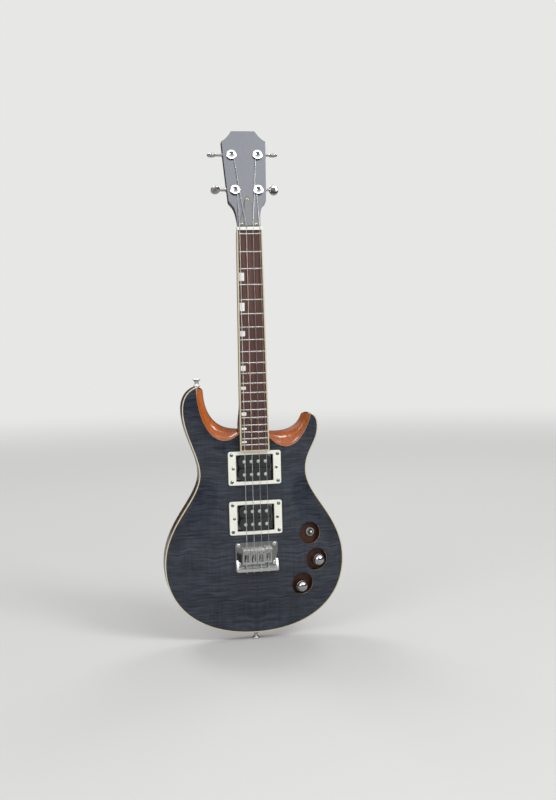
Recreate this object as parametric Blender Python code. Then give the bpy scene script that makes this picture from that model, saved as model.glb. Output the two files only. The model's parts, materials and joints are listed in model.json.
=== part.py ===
"""Electric tenor ukulele: carved solid body, set neck, two double-coil pickups and a hard-tail bridge.

Metres. Seen from the front, X runs to the right, Z runs up the neck and Y runs back into the body.
The origin is the middle of the zero fret, on the plane of the fretboard's face.
Flat pieces are drawn in a frame of their own: across, along and out of the face that carries them.
"""

import math

import bmesh
import bpy
import numpy as np
from mathutils import Matrix, Vector

# Clearance between two pieces that touch on the real instrument
SEAM = 0.0003

# Scale, frets and fretboard
SCALE_LENGTH = 0.432
FRET_COUNT = 19
FRET_HEIGHT = 0.0010
FRET_WIDTH = 0.0022
NUT_WIDTH = 0.0352
BOARD_END_WIDTH = 0.0406
BOARD_TAIL = 0.0070
BOARD_THICKNESS = 0.0060
BOARD_BINDING = 0.0018
NUT_FRONT = 0.0048
NUT_LENGTH = 0.0047
NUT_HEIGHT = 0.0026
NUT_SLOT_DEPTH = 0.0017
NUT_SLOT_CLEARANCE = 0.0004

# Strings, thickest first, and their spacing
STRING_RADII = (0.00050, 0.00040, 0.00034, 0.00030)
STRING_PITCH_NUT = 0.0092
STRING_PITCH_SADDLE = 0.0103
STRING_TURN = math.radians(290)
STRING_BREAK_BEHIND = 0.0025

# Neck and heel
NECK_DEPTH_NUT = 0.0140
NECK_DEPTH_HEEL = 0.0170
NECK_MIDDLE = 0.1000
HEEL_DEPTH = 0.0300
HEEL_START_SHORT = 0.0650
HEEL_FULL_SHORT = 0.0290
TENON_SHORT = 0.0015
TRUSS_CHANNEL_WIDTH = 0.0060
TRUSS_CHANNEL_DEPTH = 0.0070
TRUSS_ROD_RADIUS = 0.0025
TRUSS_ROD_SHORT = 0.0150

# Headstock, along its own tilted face from the nut
HEAD_TILT = math.radians(14)
HEAD_STEP = 0.0030
HEAD_THICKNESS = 0.0115
HEAD_VENEER = 0.0008
HEAD_LENGTH = 0.1378
HEAD_TOP_HALF = 0.0165
HEAD_CORNER_ALONG = 0.1230
HEAD_CORNER_HALF = 0.0307
HEAD_SHOULDER_ALONG = 0.0370
HEAD_SHOULDER_HALF = 0.0261
HEAD_THROAT_ALONG = 0.0240
HEAD_THROAT_HALF = 0.0183
HEAD_FOOT_HALF = 0.0161
COVER_LENGTH = 0.0435
COVER_FOOT_HALF = 0.0136
COVER_THICKNESS = 0.0014

# Tuners: two posts a side, buttons outside
POST_UPPER = (0.0182, 0.1031)
POST_LOWER = (0.0160, 0.0523)
POST_RADIUS = 0.0030
POST_WAIST = 0.0020
POST_BOTTOM = 0.0190
POST_CAP_RADIUS = 0.0071
POST_CAP_FOOT = 0.00205
POST_CAP_EDGE = 0.0002
POST_CAP_CROWN = 0.0004
POST_CAP_CROWN_RADIUS = 0.0042
POST_DISH = 0.0002
POST_HOLE_RADIUS = 0.0013
POST_HOLE_DEPTH = 0.0040
WINDING_GAP = 0.00035
BUSHING_RADIUS = 0.0042
HOUSING_SIZE = (0.0150, 0.0210, 0.0088)
HOUSING_SHIFT = 0.0030
WORM_OFFSET = 0.0062
WORM_DEPTH = 0.0160
BUTTON_STEM_RADIUS = 0.0018
BUTTON_REACH = 0.0247
BUTTON_HALF_LENGTH = 0.0066
BUTTON_HALF_WIDTH = 0.0078
BUTTON_HALF_THICKNESS = 0.0023
BUTTON_REST_TURNS = {
    "upper_left": math.radians(-10),
    "lower_left": math.radians(23),
    "upper_right": math.radians(14),
    "lower_right": math.radians(96),
}

# Body outline: half widths, and how far each point lies above or past the end of the scale length
BODY_END_PAST = 0.1230
BODY_END_HANDLE = 0.0745
LOWER_BOUT_HALF = 0.1267
LOWER_BOUT_PAST = 0.0220
LOWER_BOUT_HANDLE_DOWN = 0.0630
LOWER_BOUT_HANDLE_UP = 0.0590
WAIST_HALF = 0.0753
WAIST_ABOVE = 0.1042
WAIST_HANDLE_DOWN = 0.0370
WAIST_HANDLE_UP = 0.0265
LEFT_HORN_HALF = 0.0968
LEFT_HORN_ABOVE = 0.1930
LEFT_HORN_HANDLE_DOWN = 0.0340
LEFT_HORN_HANDLE_UP = 0.0240
LEFT_TIP_PLACE = (-0.0745, 0.2248)
RIGHT_HORN_HALF = 0.0937
RIGHT_HORN_ABOVE = 0.1650
RIGHT_HORN_HANDLE_DOWN = 0.0230
RIGHT_HORN_HANDLE_UP = 0.0140
RIGHT_TIP_PLACE = (0.0812, 0.1836)
TIP_ROUNDING = 0.0060
NECK_JOINT_ABOVE = 0.1630
MORTISE_RUN_OUT = 0.0690

# Body section, heights below the fretboard's face
FACE_DEPTH = 0.0090
CARVE = 0.0110
BODY_DEPTH = 0.0400
BACK_ROUNDING = 0.0040
FLAT_HALF_WIDTH = 0.0390
FLAT_TOP_ABOVE = 0.1460
FLAT_BOTTOM_PAST = 0.0380
FLAT_CORNER = 0.0120
FACE_VENEER = 0.0010
BINDING_WIDTH = 0.0013
BINDING_HEIGHT = 0.0036

# Cutaways: the veneer's edge and the lower rim of the scoop, above the end of the scale length
LEFT_VENEER_CURVE = ((-0.0772, 0.2260), (-0.0772, 0.1700), (-0.0515, 0.1320), (-0.0190, 0.1598))
LEFT_SCOOP_CURVE = ((-0.0682, 0.2260), (-0.0676, 0.1850), (-0.0500, 0.1620), (-0.0190, 0.1612))
RIGHT_VENEER_CURVE = ((0.0848, 0.1835), (0.0770, 0.1555), (0.0528, 0.1168), (0.0190, 0.1555))
RIGHT_SCOOP_CURVE = ((0.0815, 0.1870), (0.0762, 0.1630), (0.0560, 0.1515), (0.0190, 0.1575))
SCOOP_DROP = 0.0100
SCOOP_DROP_ENDS = 0.0020
WALL_DRAFT = 0.0040
WALL_DRAFT_TIP = 0.0035

# Pickups, their rings and routs
NECK_RING_GAP = 0.0002
BRIDGE_RING_GAP = 0.0106
RING_SIZE = (0.0738, 0.0468)
RING_OPENING = (0.0520, 0.0367)
RING_CORNER = 0.0030
RING_THICKNESS = 0.0030
BOBBIN_SIZE = (0.0460, 0.0173)
BOBBIN_PROUD = 0.0010
BOBBIN_DEPTH = 0.0110
ROW_SPACING = 0.0180
POLE_RADIUS = 0.0023
POLE_PROUD = 0.0005
POLE_PITCH = 0.0099
PICKUP_BASE_SIZE = (0.0500, 0.0360)
PICKUP_BASE_THICKNESS = 0.0015
PICKUP_FOOT_SIZE = (0.0690, 0.0120)
PICKUP_FOOT_DROP = 0.0040
ROUT_CLEARANCE = 0.0012
ROUT_DEPTH = 0.0170

# Bridge
BRIDGE_SIZE = (0.0597, 0.0403)
BRIDGE_LEAD = 0.0080
BRIDGE_PLATE = 0.0017
BRIDGE_CORNER = 0.0025
BRIDGE_WALL = 0.0040
BRIDGE_WALL_HEIGHT = 0.0078
BRIDGE_CHEEK_LENGTH = 0.0120
BRIDGE_CHEEK_WIDTH = 0.0030
BRIDGE_CHEEK_DROP = 0.0055
CREST_HEIGHT = 0.0038
CREST_BACK = 0.0018
SADDLE_GAP = 0.0005
SADDLE_LENGTH = 0.0217
SADDLE_NOSE = 0.0013
SADDLE_TAIL_HEIGHT = 0.0052
SADDLE_SLOT = (0.0064, 0.0118)
SADDLE_SLOT_BACK = 0.0124
SADDLE_STEP = (0.0, 0.0, 0.0, 0.0015)
STRING_HOLE_RADIUS = 0.0010
STRING_HOLE_HEIGHT = 0.0062
STRING_TAIL = 0.0016
SCREW_RADIUS = 0.0012
SCREW_HEIGHT = 0.0028
SCREW_HEAD_RADIUS = 0.0021
SCREW_HEAD_LENGTH = 0.0012
SCREW_REACH = 0.0070

# Controls: each pocket's place, in from the lower bout's widest point and along,
# how far its control sits off the pocket's axis, and what they share
SWITCH_IN = (0.0491, 0.0149)
VOLUME_IN = (0.0401, -0.0229)
TONE_IN = (0.0613, -0.0560)
SWITCH_SHIFT = (0.0030, 0.0006)
VOLUME_SHIFT = (0.0028, -0.0010)
TONE_SHIFT = (-0.0012, -0.0034)
POCKET_RADIUS = 0.0157
POCKET_DEPTH = 0.0080
POCKET_FLOOR = 0.0040
CONTROL_BARREL_RADIUS = 0.0046
CONTROL_BARREL_PROUD = 0.0010
SHAFT_RADIUS = 0.0030
SHAFT_LENGTH = 0.0200
POT_RADIUS = 0.0082
POT_HEIGHT = 0.0090
KNOB_SKIRT_RADIUS = 0.0081
KNOB_RADIUS = 0.0075
KNOB_LIFT = 0.0015
KNOB_HEIGHT = 0.0158
KNOB_SKIRT_HEIGHT = 0.0092
SWITCH_BARREL_HEIGHT = 0.0038
SWITCH_BODY_RADIUS = 0.0075
SWITCH_BODY_HEIGHT = 0.0150
SWITCH_PIVOT_DEPTH = 0.0140
SWITCH_BORE = 0.0036
SWITCH_NUT_RADIUS = 0.0059
SWITCH_NUT_HEIGHT = 0.0026
LEVER_RADIUS = 0.0012
LEVER_TIP_RADIUS = 0.0021
LEVER_LENGTH = 0.0135
LEVER_BALL_RADIUS = 0.0030

# Rear cavity and its cover
CAVITY_IN = (0.0487, -0.0210)
CAVITY_HALF = (0.0310, 0.0560)
CAVITY_ROOF = 0.0300
CAVITY_LEDGE = 0.0050
REAR_COVER = 0.0020

# Output jack on the side, and the strap buttons
JACK_PLATE_RADIUS = 0.0130
JACK_PLATE = 0.0015
JACK_RECESS = 0.0012
JACK_BORE = 0.0033
JACK_THREAD_RADIUS = 0.0048
JACK_PROUD = 0.0022
JACK_BODY_RADIUS = 0.0075
JACK_LENGTH = 0.0240
STRAP_FLANGE_RADIUS = 0.0052
STRAP_WAIST_RADIUS = 0.0028
STRAP_FOOT_RADIUS = 0.0046
STRAP_HEIGHT = 0.0115
STRAP_SEAT = 0.0008
UPPER_STRAP_AT = (-0.0737, 0.0370)
LOWER_STRAP_AT = (0, 0.0310)

# Mesh fineness
TURN_STEPS = 16
FINE_TURN_STEPS = 10
CARVE_RINGS = 3
SCOOP_SECTIONS = 11
SCOOP_STEPS = 4
WINDING_STEPS = 8

# Lengths of the cutters that only have to reach clear of what they cut
CUTTER_REACH = 0.0200
HEAD_CUTTER_REACH = 0.0300

# Places along and across, worked out from the sizes above
BOARD_LENGTH = SCALE_LENGTH * (1 - 2 ** (-FRET_COUNT / 12)) + BOARD_TAIL
HEEL_START = BOARD_LENGTH - HEEL_START_SHORT
HEEL_FULL = BOARD_LENGTH - HEEL_FULL_SHORT
TENON_END = BOARD_LENGTH - TENON_SHORT
TRUSS_ROD_END = BOARD_LENGTH - TRUSS_ROD_SHORT
NECK_PICKUP_AT = BOARD_LENGTH + SEAM + BOARD_BINDING + NECK_RING_GAP + RING_SIZE[1] / 2
BRIDGE_TOP_AT = SCALE_LENGTH - BRIDGE_LEAD
BRIDGE_PICKUP_AT = BRIDGE_TOP_AT - BRIDGE_RING_GAP - RING_SIZE[1] / 2
BODY_END = SCALE_LENGTH + BODY_END_PAST
LOWER_BOUT_AT = SCALE_LENGTH + LOWER_BOUT_PAST
WAIST_AT = SCALE_LENGTH - WAIST_ABOVE
LEFT_HORN_AT = SCALE_LENGTH - LEFT_HORN_ABOVE
RIGHT_HORN_AT = SCALE_LENGTH - RIGHT_HORN_ABOVE
LEFT_TIP = (LEFT_TIP_PLACE[0], LEFT_TIP_PLACE[1] - SCALE_LENGTH)
RIGHT_TIP = (RIGHT_TIP_PLACE[0], RIGHT_TIP_PLACE[1] - SCALE_LENGTH)
NECK_JOINT = SCALE_LENGTH - NECK_JOINT_ABOVE
MORTISE_TOP = NECK_JOINT - MORTISE_RUN_OUT
FLAT_TOP = SCALE_LENGTH - FLAT_TOP_ABOVE
FLAT_BOTTOM = SCALE_LENGTH + FLAT_BOTTOM_PAST
LEFT_VENEER_EDGE = tuple((across, along - SCALE_LENGTH) for across, along in LEFT_VENEER_CURVE)
LEFT_SCOOP_RIM = tuple((across, along - SCALE_LENGTH) for across, along in LEFT_SCOOP_CURVE)
RIGHT_VENEER_EDGE = tuple((across, along - SCALE_LENGTH) for across, along in RIGHT_VENEER_CURVE)
RIGHT_SCOOP_RIM = tuple((across, along - SCALE_LENGTH) for across, along in RIGHT_SCOOP_CURVE)
SWITCH_AT = (LOWER_BOUT_HALF - SWITCH_IN[0], SWITCH_IN[1] - SCALE_LENGTH)
VOLUME_AT = (LOWER_BOUT_HALF - VOLUME_IN[0], VOLUME_IN[1] - SCALE_LENGTH)
TONE_AT = (LOWER_BOUT_HALF - TONE_IN[0], TONE_IN[1] - SCALE_LENGTH)
CAVITY_CENTRE = (LOWER_BOUT_HALF - CAVITY_IN[0], CAVITY_IN[1] - SCALE_LENGTH)

# Levels worked out from the sizes above, as heights out of the fretboard's plane
NECK_FRONT = -(BOARD_THICKNESS + SEAM)
FACE = -FACE_DEPTH
RIM = FACE - CARVE
BACK = FACE - BODY_DEPTH
SIDE_MIDDLE = (RIM - BINDING_HEIGHT + BACK) / 2
NUT_REAR = NUT_FRONT + NUT_LENGTH
TENON_FLOOR = NECK_FRONT - HEEL_DEPTH
RING_TOP = FACE + SEAM + RING_THICKNESS
PLATE_TOP = FACE + SEAM + BRIDGE_PLATE
BRIDGE_END = BRIDGE_TOP_AT + BRIDGE_SIZE[1]
POCKET_BOTTOM = -POCKET_DEPTH
POT_TOP = POCKET_BOTTOM - POCKET_FLOOR - SEAM

# Frames: FACE_FRAME carries the body and neck, HEAD_FRAME the headstock
FACE_FRAME = Matrix(((1, 0, 0, 0), (0, 0, -1, 0), (0, 1, 0, 0), (0, 0, 0, 1)))
HEAD_FRAME = FACE_FRAME @ Matrix.Translation((0, NUT_REAR + SEAM, -HEAD_STEP))
HEAD_FRAME = HEAD_FRAME @ Matrix.Rotation(-HEAD_TILT, 4, "X")


def clear_scene():
    for obj in list(bpy.data.objects):
        bpy.data.objects.remove(obj, do_unlink=True)


def finish(name, colour, roughness, metallic=0.0):
    """One plain material for one sub-part."""
    material = bpy.data.materials.new(name)
    material.use_nodes = True
    shader = material.node_tree.nodes["Principled BSDF"]
    shader.inputs["Base Color"].default_value = (*colour, 1)
    shader.inputs["Roughness"].default_value = roughness
    shader.inputs["Metallic"].default_value = metallic
    return material


def mahogany(name):
    return finish(name, (0.16, 0.035, 0.015), 0.25)


def chrome(name):
    return finish(name, (0.75, 0.75, 0.76), 0.12, 1.0)


def cream(name):
    return finish(name, (0.74, 0.70, 0.55), 0.30)


def steel(name):
    return finish(name, (0.55, 0.54, 0.52), 0.30, 1.0)


def add_mesh(name, points, faces, material, frame=FACE_FRAME):
    """A closed mesh object with outward faces, drawn in the given frame."""
    mesh = bpy.data.meshes.new(name)
    mesh.from_pydata([tuple(point) for point in points], [], faces)
    shape = bmesh.new()
    shape.from_mesh(mesh)
    bmesh.ops.remove_doubles(shape, verts=shape.verts, dist=1e-7)
    bmesh.ops.recalc_face_normals(shape, faces=shape.faces)
    bent = [face for face in shape.faces if len(face.verts) == 4]
    bmesh.ops.triangulate(shape, faces=bent)
    shape.to_mesh(mesh)
    shape.free()
    mesh.shade_smooth()
    mesh.set_sharp_from_angle(angle=math.radians(35))
    obj = bpy.data.objects.new(name, mesh)
    bpy.context.scene.collection.objects.link(obj)
    obj.matrix_world = frame
    if material is None:
        obj.hide_render = True
        obj.display_type = "WIRE"
    else:
        mesh.materials.append(material)
    return obj


def skin(name, rings, material, frame=FACE_FRAME, fan=False):
    """A solid through rings of equally many points, capped at the first and the last."""
    count = len(rings[0])
    points = [point for ring in rings for point in ring]
    faces = []
    for row in range(len(rings) - 1):
        for column in range(count):
            after = (column + 1) % count
            low, high = row * count, (row + 1) * count
            faces.append((low + column, low + after, high + after, high + column))
    for start in (0, (len(rings) - 1) * count):
        cap = range(start, start + count)
        if fan:
            faces += [(cap[-1], cap[step], cap[step + 1]) for step in range(count - 2)]
        else:
            faces.append(tuple(cap))
    return add_mesh(name, points, faces, material, frame)


def prism(name, outline, low, high, material, frame=FACE_FRAME):
    """An outline drawn across and along, thick from low to high."""
    rings = [[(across, along, height) for across, along in outline] for height in (low, high)]
    return skin(name, rings, material, frame)


def turned(name, profile, material, frame, steps=TURN_STEPS):
    """A profile of (radius, height) points from axis to axis, turned round the frame's third axis."""
    rings = []
    for radius, height in profile:
        ring = []
        for step in range(steps):
            angle = 2 * math.pi * step / steps
            ring.append((radius * math.cos(angle), radius * math.sin(angle), height))
        rings.append(ring)
    points = [point for ring in rings for point in ring]
    faces = []
    for row in range(len(rings) - 1):
        for column in range(steps):
            after = (column + 1) % steps
            low, high = row * steps, (row + 1) * steps
            faces.append((low + column, low + after, high + after, high + column))
    closed_ring = profile[0] == profile[-1] and profile[0][0] > 0
    if not closed_ring and profile[0][0] > 0:
        faces.append(tuple(range(steps)))
    if not closed_ring and profile[-1][0] > 0:
        faces.append(tuple(range((len(rings) - 1) * steps, len(rings) * steps)))
    return add_mesh(name, points, faces, material, frame)


def boolean(obj, tool, operation="DIFFERENCE"):
    modifier = obj.modifiers.new(f"{operation.lower()} {tool.name}", "BOOLEAN")
    modifier.operation = operation
    modifier.object = tool
    modifier.solver = "EXACT"
    return obj


def box_outline(half_width, bottom, top):
    return [(-half_width, bottom), (half_width, bottom), (half_width, top), (-half_width, top)]


def rounded_box_outline(width, height, corner, centre=(0, 0), steps=3):
    """A rectangle with rounded corners, anticlockwise from its right side."""
    outline = []
    for index, (side_x, side_y) in enumerate(((1, 1), (-1, 1), (-1, -1), (1, -1))):
        middle_x = centre[0] + side_x * (width / 2 - corner)
        middle_y = centre[1] + side_y * (height / 2 - corner)
        for step in range(steps + 1):
            angle = math.pi / 2 * (index + step / steps)
            outline.append((middle_x + corner * math.cos(angle), middle_y + corner * math.sin(angle)))
    return outline


def stadium_outline(length, width, centre=(0, 0), steps=6):
    """A bar with half-round ends."""
    outline = []
    for side in (1, -1):
        middle = centre[0] + side * (length - width) / 2
        for step in range(steps + 1):
            angle = -math.pi / 2 + math.pi * step / steps + (0 if side > 0 else math.pi)
            x, y = width / 2 * math.cos(angle), width / 2 * math.sin(angle)
            outline.append((middle + x, centre[1] + y))
    return outline


def circle_outline(radius, centre=(0, 0), steps=TURN_STEPS):
    angles = [2 * math.pi * step / steps for step in range(steps)]
    return [(centre[0] + radius * math.cos(a), centre[1] + radius * math.sin(a)) for a in angles]


def cubic(ends, steps, last=False):
    """Points along a cubic curve through its first and last control points."""
    p0, p1, p2, p3 = (np.array(point, float) for point in ends)
    points = []
    for step in range(steps + (1 if last else 0)):
        t = step / steps
        early = (1 - t) ** 3 * p0 + 3 * (1 - t) ** 2 * t * p1
        points.append(early + 3 * (1 - t) * t**2 * p2 + t**3 * p3)
    return points


def fret_distance(number):
    """How far below the zero fret a fret lies, by equal temperament."""
    return SCALE_LENGTH * (1 - 2 ** (-number / 12))


def board_half(below):
    """Half the width of the bound fretboard, below metres down from the zero fret."""
    return NUT_WIDTH / 2 + (BOARD_END_WIDTH - NUT_WIDTH) / 2 * below / BOARD_LENGTH


def string_offset(index, pitch):
    return (index - (len(STRING_RADII) - 1) / 2) * pitch


def rim_path():
    """The binding's outer edge, from the left horn's tip round the bottom to the right horn's tip."""
    path = cubic(
        (
            LEFT_TIP,
            (LEFT_TIP[0] - TIP_ROUNDING, LEFT_TIP[1]),
            (-LEFT_HORN_HALF, -LEFT_HORN_AT + LEFT_HORN_HANDLE_UP),
            (-LEFT_HORN_HALF, -LEFT_HORN_AT),
        ),
        6,
    )
    path += cubic(
        (
            (-LEFT_HORN_HALF, -LEFT_HORN_AT),
            (-LEFT_HORN_HALF, -LEFT_HORN_AT - LEFT_HORN_HANDLE_DOWN),
            (-WAIST_HALF, -WAIST_AT + WAIST_HANDLE_UP),
            (-WAIST_HALF, -WAIST_AT),
        ),
        6,
    )
    path += cubic(
        (
            (-WAIST_HALF, -WAIST_AT),
            (-WAIST_HALF, -WAIST_AT - WAIST_HANDLE_DOWN),
            (-LOWER_BOUT_HALF, -LOWER_BOUT_AT + LOWER_BOUT_HANDLE_UP),
            (-LOWER_BOUT_HALF, -LOWER_BOUT_AT),
        ),
        8,
    )
    quarter = cubic(
        (
            (-LOWER_BOUT_HALF, -LOWER_BOUT_AT),
            (-LOWER_BOUT_HALF, -LOWER_BOUT_AT - LOWER_BOUT_HANDLE_DOWN),
            (-BODY_END_HANDLE, -BODY_END),
            (0, -BODY_END),
        ),
        11,
        last=True,
    )
    path += quarter
    path += [point * (-1, 1) for point in reversed(quarter[:-1])]
    path += cubic(
        (
            (LOWER_BOUT_HALF, -LOWER_BOUT_AT),
            (LOWER_BOUT_HALF, -LOWER_BOUT_AT + LOWER_BOUT_HANDLE_UP),
            (WAIST_HALF, -WAIST_AT - WAIST_HANDLE_DOWN),
            (WAIST_HALF, -WAIST_AT),
        ),
        8,
    )[1:]
    path += cubic(
        (
            (WAIST_HALF, -WAIST_AT),
            (WAIST_HALF, -WAIST_AT + WAIST_HANDLE_UP),
            (RIGHT_HORN_HALF, -RIGHT_HORN_AT - RIGHT_HORN_HANDLE_DOWN),
            (RIGHT_HORN_HALF, -RIGHT_HORN_AT),
        ),
        6,
    )
    path += cubic(
        (
            (RIGHT_HORN_HALF, -RIGHT_HORN_AT),
            (RIGHT_HORN_HALF, -RIGHT_HORN_AT + RIGHT_HORN_HANDLE_UP),
            (RIGHT_TIP[0] + TIP_ROUNDING, RIGHT_TIP[1]),
            RIGHT_TIP,
        ),
        6,
        last=True,
    )
    return np.array(path)


def inset(path, distance):
    """The rim path moved inwards, square to itself."""
    ahead = np.vstack((path[1:], 2 * path[-1] - path[-2]))
    behind = np.vstack((2 * path[0] - path[1], path[:-1]))
    along = ahead - behind
    along /= np.linalg.norm(along, axis=1)[:, None]
    inward = np.column_stack((-along[:, 1], along[:, 0]))
    return path + distance * inward


def close_over_cutaways(path):
    """The body's blank: the rim path closed past both tips, where the cutaways are then taken out."""
    right = path[-1] + (-TIP_ROUNDING * 0.75, -TIP_ROUNDING * 0.25)
    left = path[0] + (TIP_ROUNDING * 1.5, -TIP_ROUNDING)
    shoulder = path[0] + (TIP_ROUNDING * 0.75, -TIP_ROUNDING * 0.25)
    middle = ((left[0] + right[0]) / 2, (left[1] + right[1]) / 2)
    return np.vstack((path, right, middle, left, shoulder))


RIM_PATH = rim_path()


def distance_to_rim(across, along):
    start, end = RIM_PATH[:-1], RIM_PATH[1:]
    side = end - start
    offset = np.array((across, along)) - start
    share = np.clip((offset * side).sum(1) / (side**2).sum(1), 0, 1)
    return float(np.linalg.norm(offset - share[:, None] * side, axis=1).min())


def nearest_in_core(across, along):
    """The nearest point of the box that the face's flat middle is rounded about."""
    half = FLAT_HALF_WIDTH - FLAT_CORNER
    x = min(max(across, -half), half)
    y = min(max(along, -FLAT_BOTTOM + FLAT_CORNER), -FLAT_TOP - FLAT_CORNER)
    return np.array((x, y))


def flat_edge_point(point):
    """Where the line from a rim point towards the core meets the edge of the flat middle."""
    core = nearest_in_core(*point)
    away = np.array(point) - core
    return core + away * (FLAT_CORNER / max(np.linalg.norm(away), FLAT_CORNER))


def face_height(across, along):
    """The carved face: flat in the middle, and falling to the rim in a smooth S."""
    from_rim = distance_to_rim(across, along)
    away = np.linalg.norm(np.array((across, along)) - nearest_in_core(across, along))
    from_flat = max(away - FLAT_CORNER, 0)
    share = from_rim / (from_rim + from_flat) if from_flat > 0 else 1.0
    return RIM + CARVE * share * share * (3 - 2 * share)


def face_frame_at(across, along):
    """A frame on the carved face, its third axis square to the surface."""
    step = 0.004
    slope_x = (face_height(across + step, along) - face_height(across - step, along)) / (2 * step)
    slope_y = (face_height(across, along + step) - face_height(across, along - step)) / (2 * step)
    normal = Vector((-slope_x, -slope_y, 1)).normalized()
    turn = Vector((0, 0, 1)).rotation_difference(normal).to_matrix().to_4x4()
    return FACE_FRAME @ Matrix.Translation((across, along, face_height(across, along))) @ turn


def carved_rings(outline, below):
    """Rings from the outline in to the flat middle, on the carved face or some way below it."""
    rings = []
    for step in range(CARVE_RINGS + 1):
        share = step / CARVE_RINGS
        ring = []
        for point in outline:
            across, along = point + (flat_edge_point(point) - point) * share
            height = FACE if step == CARVE_RINGS else face_height(across, along)
            ring.append((across, along, height - below))
        rings.append(ring)
    return rings


def scoop_section(edge, rim, square, toward, drop):
    """One section of a cutaway: down from the veneer's edge, a hollow to the rim, then the wall."""
    top = face_height(*edge) + 0.0004
    low = RIM - drop
    clear = CUTTER_REACH
    bottom = BACK - clear
    bend = edge + 0.25 * (rim - edge)
    wall_foot = rim + square
    section = [(*edge, clear)]
    for step in range(SCOOP_STEPS + 1):
        t = step / SCOOP_STEPS
        flat = (1 - t) ** 2 * edge + 2 * (1 - t) * t * bend + t**2 * rim
        height = (1 - t) ** 2 * top + 2 * (1 - t) * t * low + t**2 * low
        section.append((*flat, height))
    section.append((*wall_foot, bottom))
    section.append((*(wall_foot + toward), bottom))
    section.append((*(edge + toward), clear))
    return section


def scoop_tool(name, edge_curve, rim_curve, side):
    """The solid that a cutaway's scoop and wall are cut with, lofted from the horn to the neck."""
    edges = np.array(cubic(edge_curve, SCOOP_SECTIONS, last=True))
    rims = np.array(cubic(rim_curve, SCOOP_SECTIONS, last=True))
    past_tip = (edges[0] - edges[1]) / 2 + (0, TIP_ROUNDING)
    edges = np.vstack((edges[0] + past_tip, edges))
    rims = np.vstack((rims[0] + past_tip, rims))
    along = np.gradient(rims, axis=0)
    along /= np.linalg.norm(along, axis=1)[:, None]
    squares = side * np.column_stack((-along[:, 1], along[:, 0]))
    toward = np.array((side * 0.030, 0.085))
    sections = []
    for index, (edge, rim, square) in enumerate(zip(edges, rims, squares)):
        t = max(index - 1, 0) / SCOOP_SECTIONS
        drop = SCOOP_DROP_ENDS + (SCOOP_DROP - SCOOP_DROP_ENDS) * 4 * t * (1 - t)
        draft = WALL_DRAFT + WALL_DRAFT_TIP * (1 - t) ** 2
        sections.append(scoop_section(edge, rim, draft * square, toward, drop))
    return skin(name, sections, None, fan=True)


def control_frame(place, shift):
    """A pocket's frame, moved across its floor to the control that stands in it."""
    return face_frame_at(*place) @ Matrix.Translation((*shift, 0))


def pocket_tool(name, place):
    """The round recess of one control, square to the carved face."""
    return turned(
        name,
        [(0, POCKET_BOTTOM), (POCKET_RADIUS, POCKET_BOTTOM), (POCKET_RADIUS, CUTTER_REACH), (0, CUTTER_REACH)],
        None,
        face_frame_at(*place),
        18,
    )


def rear_pocket_tool(name, place, shift):
    """Behind a pocket's floor: the barrel's hole and the flat that the control seats against."""
    hole = CONTROL_BARREL_RADIUS + SEAM
    seat = POCKET_BOTTOM - POCKET_FLOOR
    bore = POT_RADIUS + 0.0015
    deep = seat - 0.014
    profile = [(0, deep), (bore, deep), (bore, seat), (hole, seat), (hole, POCKET_BOTTOM + 0.002)]
    return turned(name, profile + [(0, POCKET_BOTTOM + 0.002)], None, control_frame(place, shift), 16)


def cavity_outline(grow=0.0):
    steps = 24
    outline = []
    for step in range(steps):
        angle = 2 * math.pi * step / steps
        outline.append(
            (
                CAVITY_CENTRE[0] + (CAVITY_HALF[0] + grow) * math.cos(angle),
                CAVITY_CENTRE[1] + (CAVITY_HALF[1] + grow) * math.sin(angle),
            )
        )
    return outline


def pickup_rout_tool(name, below):
    """A pickup's rout: a well for the coils and a wider slot for the feet."""
    clear = 2 * ROUT_CLEARANCE
    middle = (0, -below)
    width, height = RING_OPENING
    well = rounded_box_outline(width + clear / 2, height + clear / 2, RING_CORNER, middle, 2)
    width, height = PICKUP_FOOT_SIZE
    slot = rounded_box_outline(width + clear, height + clear, RING_CORNER, middle, 2)
    floor = FACE - ROUT_DEPTH
    tool = prism(name, well, floor, 0.01, None)
    return boolean(tool, prism(f"{name} feet", slot, floor - 0.0001, 0.011, None), "UNION")


def side_frame():
    """On the side at the widest point of the lower bout, its third axis pointing out of the side."""
    across, back, up = LOWER_BOUT_HALF, -SIDE_MIDDLE, -LOWER_BOUT_AT
    return Matrix(((0, 0, 1, across), (1, 0, 0, back), (0, 1, 0, up), (0, 0, 0, 1)))


def strap_frames():
    """Seats of the strap buttons: on the left horn's tip and at the bottom of the body."""
    upper = Matrix.Translation((*UPPER_STRAP_AT, LEFT_TIP[1]))
    lower = Matrix.Translation((*LOWER_STRAP_AT, -BODY_END)) @ Matrix.Rotation(math.pi, 4, "X")
    return {"upper": upper, "lower": lower}


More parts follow.
